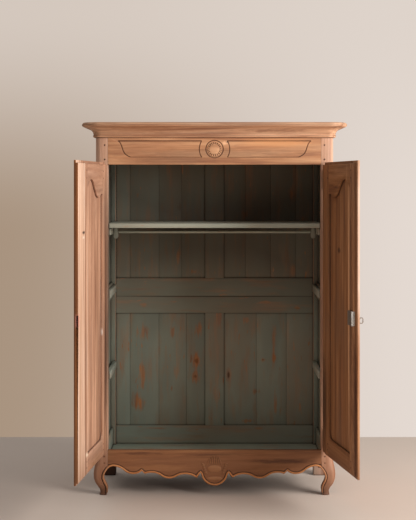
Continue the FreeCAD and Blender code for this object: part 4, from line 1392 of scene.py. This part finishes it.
        # the apron's bead takes the lighter wood: painted highlight
        self.bead_strip(shop, "apron_bead", LIT_BEAD_WOOD,
                        [(x, 1.8, z) for x, z in self.apron_edge()])
        self.shell(shop)
        for name, side in (("left", -1), ("right", 1)):
            line = bar([place(side * x, y + 0.2, z) for x, y, z in self.foot_line], self.groove)
            shop.worn("front_%s_post" % name, Grain.UP, (POST_WOOD,), tools=[line], width=2.2)
            self.bead_strip(shop, "foot_bead_" + name, FOOT_BEAD, self.foot_bead(side))
            shop.worn("cornice_" + name, Grain.DEEP, (CORNICE_WOOD,), width=1.2)
        shop.worn("cornice_front", Grain.ACROSS, (CORNICE_WOOD,), width=1.2)
        shop.worn("top_boards", Grain.ACROSS)
        shop.kept("frame_pegs", PEG_WOOD)


@dataclass
class Case:
    """The sides, the back, the floor and what hangs inside.

    Attributes:
        panel_x: How far out the edges of the sides are painted.
        board_y: How deep the edges of the back are painted.
        post_split: How far out the front of a rear post is painted.
    """

    panel_x: float = 637.0
    board_y: float = 480.0
    post_split: float = 650.0

    def inside(self, x: float, y: float) -> FaceTest:
        """A test for faces that look into the case, or edge what does.

        Args:
            x: The way in, sideways.
            y: The way in, backwards.

        Returns:
            The test.
        """
        limit = Vector(place(self.panel_x, self.board_y, 0))
        middle = CENTRE_X * MM

        def test(polygon: bpy.types.MeshPolygon) -> bool:
            """Whether a face is painted."""
            if facing(x, y, 0)(polygon):
                return True
            near = (abs(polygon.center.x - middle) < limit.x - middle if x
                    else polygon.center.y < limit.y)
            edge = abs(polygon.normal.z) > 0.5 or (y and abs(polygon.normal.x) > 0.5)
            return bool(near and edge)
        return test

    def post_inside(self, side: int) -> FaceTest:
        """A test for the painted faces of a rear post.

        Args:
            side: -1 for the left post, 1 for the right one.

        Returns:
            The test.
        """
        limit = Vector(place(self.post_split, self.board_y, 0))
        middle = CENTRE_X * MM

        def test(polygon: bpy.types.MeshPolygon) -> bool:
            """Whether a face is painted."""
            if facing(-side, 0, 0)(polygon):
                return polygon.center.y < limit.y
            return (facing(0, -1, 0)(polygon)
                    and abs(polygon.center.x - middle) < limit.x - middle)
        return test

    def build(self, shop: Workshop) -> None:
        """Make the case.

        Args:
            shop: The workshop.
        """
        both = (BARE, PAINT)
        for name, side in (("left", -1), ("right", 1)):
            inward = self.inside(-side, 0)
            for part, grain in (("top_rail", Grain.DEEP), ("middle_rail", Grain.DEEP),
                                ("bottom_rail", Grain.DEEP), ("lower_panel", Grain.UP),
                                ("upper_panel", Grain.UP)):
                shop.worn("%s_%s" % (name, part), grain, both, inner=inward)
            shop.worn("rear_%s_post" % name, Grain.UP, (BARE, POST_PAINT),
                      inner=self.post_inside(side), split=side * self.post_split)
        front = self.inside(0, -1)
        for grain, width, parts in (
                (Grain.ACROSS, 1.6, ("bottom_rail", "middle_rail_lower", "middle_rail_upper",
                                     "top_rail")),
                (Grain.UP, 1.6, ("muntin_lower", "muntin_upper")),
                (Grain.UP, 1.1, ("boards_lower_left", "boards_lower_right", "boards_upper_left",
                                 "boards_upper_right"))):
            for part in parts:
                shop.worn("back_" + part, grain, both, inner=front, width=width)
        # the undersides take the dark wood: dust, and painted shade beneath the case
        shop.worn("floor_boards", Grain.ACROSS, (FLOOR_PAINT, DUSTY_SHADE_WOOD),
                  inner=facing(0, 0, -1))
        shop.worn("floor_bearers", Grain.DEEP, (DUSTY_SHADE_WOOD,))
        # the shelf and the rod take the lighter paint: painted light
        for part, grain, paint, width in (("shelf", Grain.ACROSS, LIT_SHELF_PAINT, 2.0),
                                          ("shelf_cleats", Grain.DEEP, CLEAT_PAINT, 1.6),
                                          ("rod_bracket_left", Grain.UP, CLEAT_PAINT, 1.6),
                                          ("rod_bracket_right", Grain.UP, CLEAT_PAINT, 1.6),
                                          ("hanging_rod", Grain.ACROSS, LIT_SHELF_PAINT, 0.8)):
            shop.worn(part, grain, (paint,), width=width)


@dataclass
class Door:
    """One door, hung open.

    Attributes:
        name: left or right.
        swing: How far it stands open, in degrees, turning left as seen from above.
        wood: Its finish.
        edge: The finish of its meeting stile; on the right door a lighter wood than the rest of
            it, a painted highlight on the lit edge.
        post_edge: The way the edge of the left door's false post looks, which takes a darker wood
            as painted shade.
    """

    name: str
    swing: float
    wood: StrippedWood = BARE
    edge: StrippedWood = BARE
    post_edge: Point = (-0.115, -0.993, 0.0)

    def build(self, shop: Workshop) -> None:
        """Make the door.

        Args:
            shop: The workshop.
        """
        body = self.name + "_door"
        for part, grain in (("hinge_stile", Grain.UP), ("meeting_stile", Grain.UP),
                            ("panel", Grain.UP), ("top_rail", Grain.ACROSS),
                            ("bottom_rail", Grain.ACROSS)):
            wood = self.edge if part == "meeting_stile" else self.wood
            shop.worn("%s_%s" % (body, part), grain, (wood,), body=body, swing=self.swing,
                      width=2.0)
        shop.kept(body + "_pegs", PEG_WOOD, Grain.DEEP, self.swing)
        if self.name == "left":
            # the false post's edge takes the darker wood: painted shade
            shop.worn("left_door_centre_post", Grain.UP, (HANDLED, SHADED_EDGE_WOOD), body=body,
                      swing=self.swing, width=2.4, inner=facing(*self.post_edge))


@dataclass
class Ironwork:
    """Hinges, lock and key.

    Attributes:
        lock_edge: The way the bright edge of the lock looks.
    """

    lock_edge: Point = (0.203, -0.979, 0.0)

    def build(self, shop: Workshop) -> None:
        """Dress the ironwork.

        Args:
            shop: The workshop.
        """
        for name in ("left", "right"):
            shop.kept(name + "_hinge_door_knuckles", IRON)
            shop.kept(name + "_hinge_fixed_knuckles", IRON)
        shop.kept("hinge_pins", IRON)
        shop.worn("lock_case", Grain.UP, (BRIGHT_IRON, STEEL), "right_door", width=0.5,
                  inner=facing(*self.lock_edge))
        shop.kept("lock_bolt", STEEL)
        shop.kept("escutcheon", BRASS)
        shop.kept("key", BRIGHT_IRON)


# ------------------------------------------------------------------ studio
@dataclass
class Studio:
    """Floor, light and camera.

    Attributes:
        eye: Camera place in metres.
        lens: Focal length for a 36 mm long side.
        shift: Sideways and upward shift of the view.
        floor_wash: Finish of the plain floor.
        floor_size: Its width and depth in metres.
        floor_back: Where it ends behind the armoire, in metres.
        backdrop_shaded_left: Background colour on the left, darker: painted shade, as light falls
            off to the left.
        backdrop_lit_right: Background colour on the right, lighter: painted light.
        backdrop_lit_top: Background colour higher up, lighter: painted light.
        lamp: Place of the big soft lamp in metres.
        lamp_aim: The place it points at.
        lamp_size: Its width in metres.
        lamp_power: Its power in watts.
        fill: Strength of the soft light from everywhere.
        fill_left: Strength of what comes from the left.
        fill_up: Strength of what comes from above.
        fill_back: Strength of what comes from behind.
        fill_front: Strength of what comes from the camera's side.
    """

    eye: Point = (-0.014, -6.148, 1.783)
    lens: float = 75.74
    shift: Flat = (-0.0125, -0.1462)
    floor_wash: Finish = Limewash()
    floor_size: Flat = (16.0, 10.0)
    floor_back: float = 1.56
    backdrop_shaded_left: str = "#A8937F"
    backdrop_lit_right: str = "#E4D9D1"
    backdrop_lit_top: str = "#DDD2C9"
    lamp: Point = (4.35, -2.6, 2.65)
    lamp_aim: Point = (0.0, 0.0, 1.0)
    lamp_size: float = 3.0
    lamp_power: float = 350.0
    fill: float = 0.03
    fill_left: float = 0.18
    fill_up: float = 0.5
    fill_back: float = 0.18
    fill_front: float = 0.055

    def build(self) -> None:
        """Set up the studio."""
        self.floor()
        self.light()
        self.world()
        self.camera()

    def floor(self) -> None:
        """A plain pale floor."""
        clear_selection()
        wide, deep = self.floor_size
        bpy.ops.mesh.primitive_plane_add(size=1.0, location=(0, self.floor_back - deep / 2, 0))
        floor = bpy.context.object
        floor.name = "studio_floor"
        floor.scale = (wide, deep, 1.0)
        freeze(floor)
        lie = Plank((0.0, 0.0, 0.0), Grain.ACROSS)
        floor.data.materials.append(self.floor_wash.material("limewashed_floor", lie))

    def light(self) -> None:
        """One big soft lamp, high on the right."""
        clear_selection()
        bpy.ops.object.light_add(type="AREA", location=self.lamp)
        lamp = bpy.context.object
        lamp.name = "window_light"
        lamp.data.size = self.lamp_size
        lamp.data.energy = self.lamp_power
        lamp.data.color = (1.0, 0.96, 0.92)
        aim = Vector(self.lamp_aim) - Vector(self.lamp)
        lamp.rotation_euler = aim.to_track_quat("-Z", "Y").to_euler()

    def world(self) -> None:
        """Soft light from behind and around, and a backdrop for the camera with painted light,
        darker to the left.
        """
        world = bpy.data.worlds.new("studio_world")
        bpy.context.scene.world = world
        world.use_nodes = True
        tree = world.node_tree
        tree.nodes.clear()
        way = add(tree, "ShaderNodeTexCoord").outputs["Generated"]
        # painted light on the backdrop: darker to the left, lighter to the right and upwards
        wall = layered(tree, self.backdrop_shaded_left,
                       (axis(tree, way, "X"), -0.2, 0.2, 1.0, self.backdrop_lit_right),
                       (axis(tree, way, "Z"), -0.05, 0.16, 0.8, self.backdrop_lit_top))
        fill: Any = self.fill
        for name, low, high, top in (("X", 0.0, -0.8, self.fill_left),
                                     ("Z", 0.3, 0.9, self.fill_up),
                                     ("Y", 0.1, 0.9, self.fill_back),
                                     ("Y", -0.6, -1.0, self.fill_front)):
            fill = math_node(tree, "ADD", fill, fade(tree, axis(tree, way, name), low, high, top))
        seen = add(tree, "ShaderNodeBackground", {"Color": wall, "Strength": 1.0})
        lit = add(tree, "ShaderNodeBackground",
                  {"Color": (1.0, 0.97, 0.94, 1.0), "Strength": fill})
        rays = add(tree, "ShaderNodeLightPath")
        share = math_node(tree, "MAXIMUM", rays.outputs["Is Camera Ray"],
                          rays.outputs["Is Transmission Ray"])
        mix = add(tree, "ShaderNodeMixShader",
                  {0: share, 1: lit.outputs[0], 2: seen.outputs[0]})
        add(tree, "ShaderNodeOutputWorld", {"Surface": mix.outputs[0]})

    def camera(self) -> None:
        """A level camera in front of the armoire."""
        clear_selection()
        bpy.ops.object.camera_add(location=self.eye, rotation=(math.pi / 2, 0, 0))
        camera = bpy.context.object
        camera.name = "front_camera"
        camera.data.sensor_width = 36.0
        camera.data.lens = self.lens
        camera.data.shift_x, camera.data.shift_y = self.shift
        bpy.context.scene.camera = camera


def main() -> None:
    """Build the armoire and its studio."""
    logging.basicConfig(level=logging.INFO)
    bpy.context.scene.view_settings.view_transform = "Standard"
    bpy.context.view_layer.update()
    shop = Workshop()
    FrontFrame().build(shop)
    Case().build(shop)
    Door("left", -96.6).build(shop)
    # the right door takes the darkened wood as painted shade, its meeting stile the lighter one
    Door("right", 101.7, PAINTED_SHADE_WOOD, LIT_LIP_WOOD).build(shop)
    Ironwork().build(shop)
    Studio().build()
    log.info("%d pieces dressed", len(shop.done))


if __name__ == "__main__":
    main()
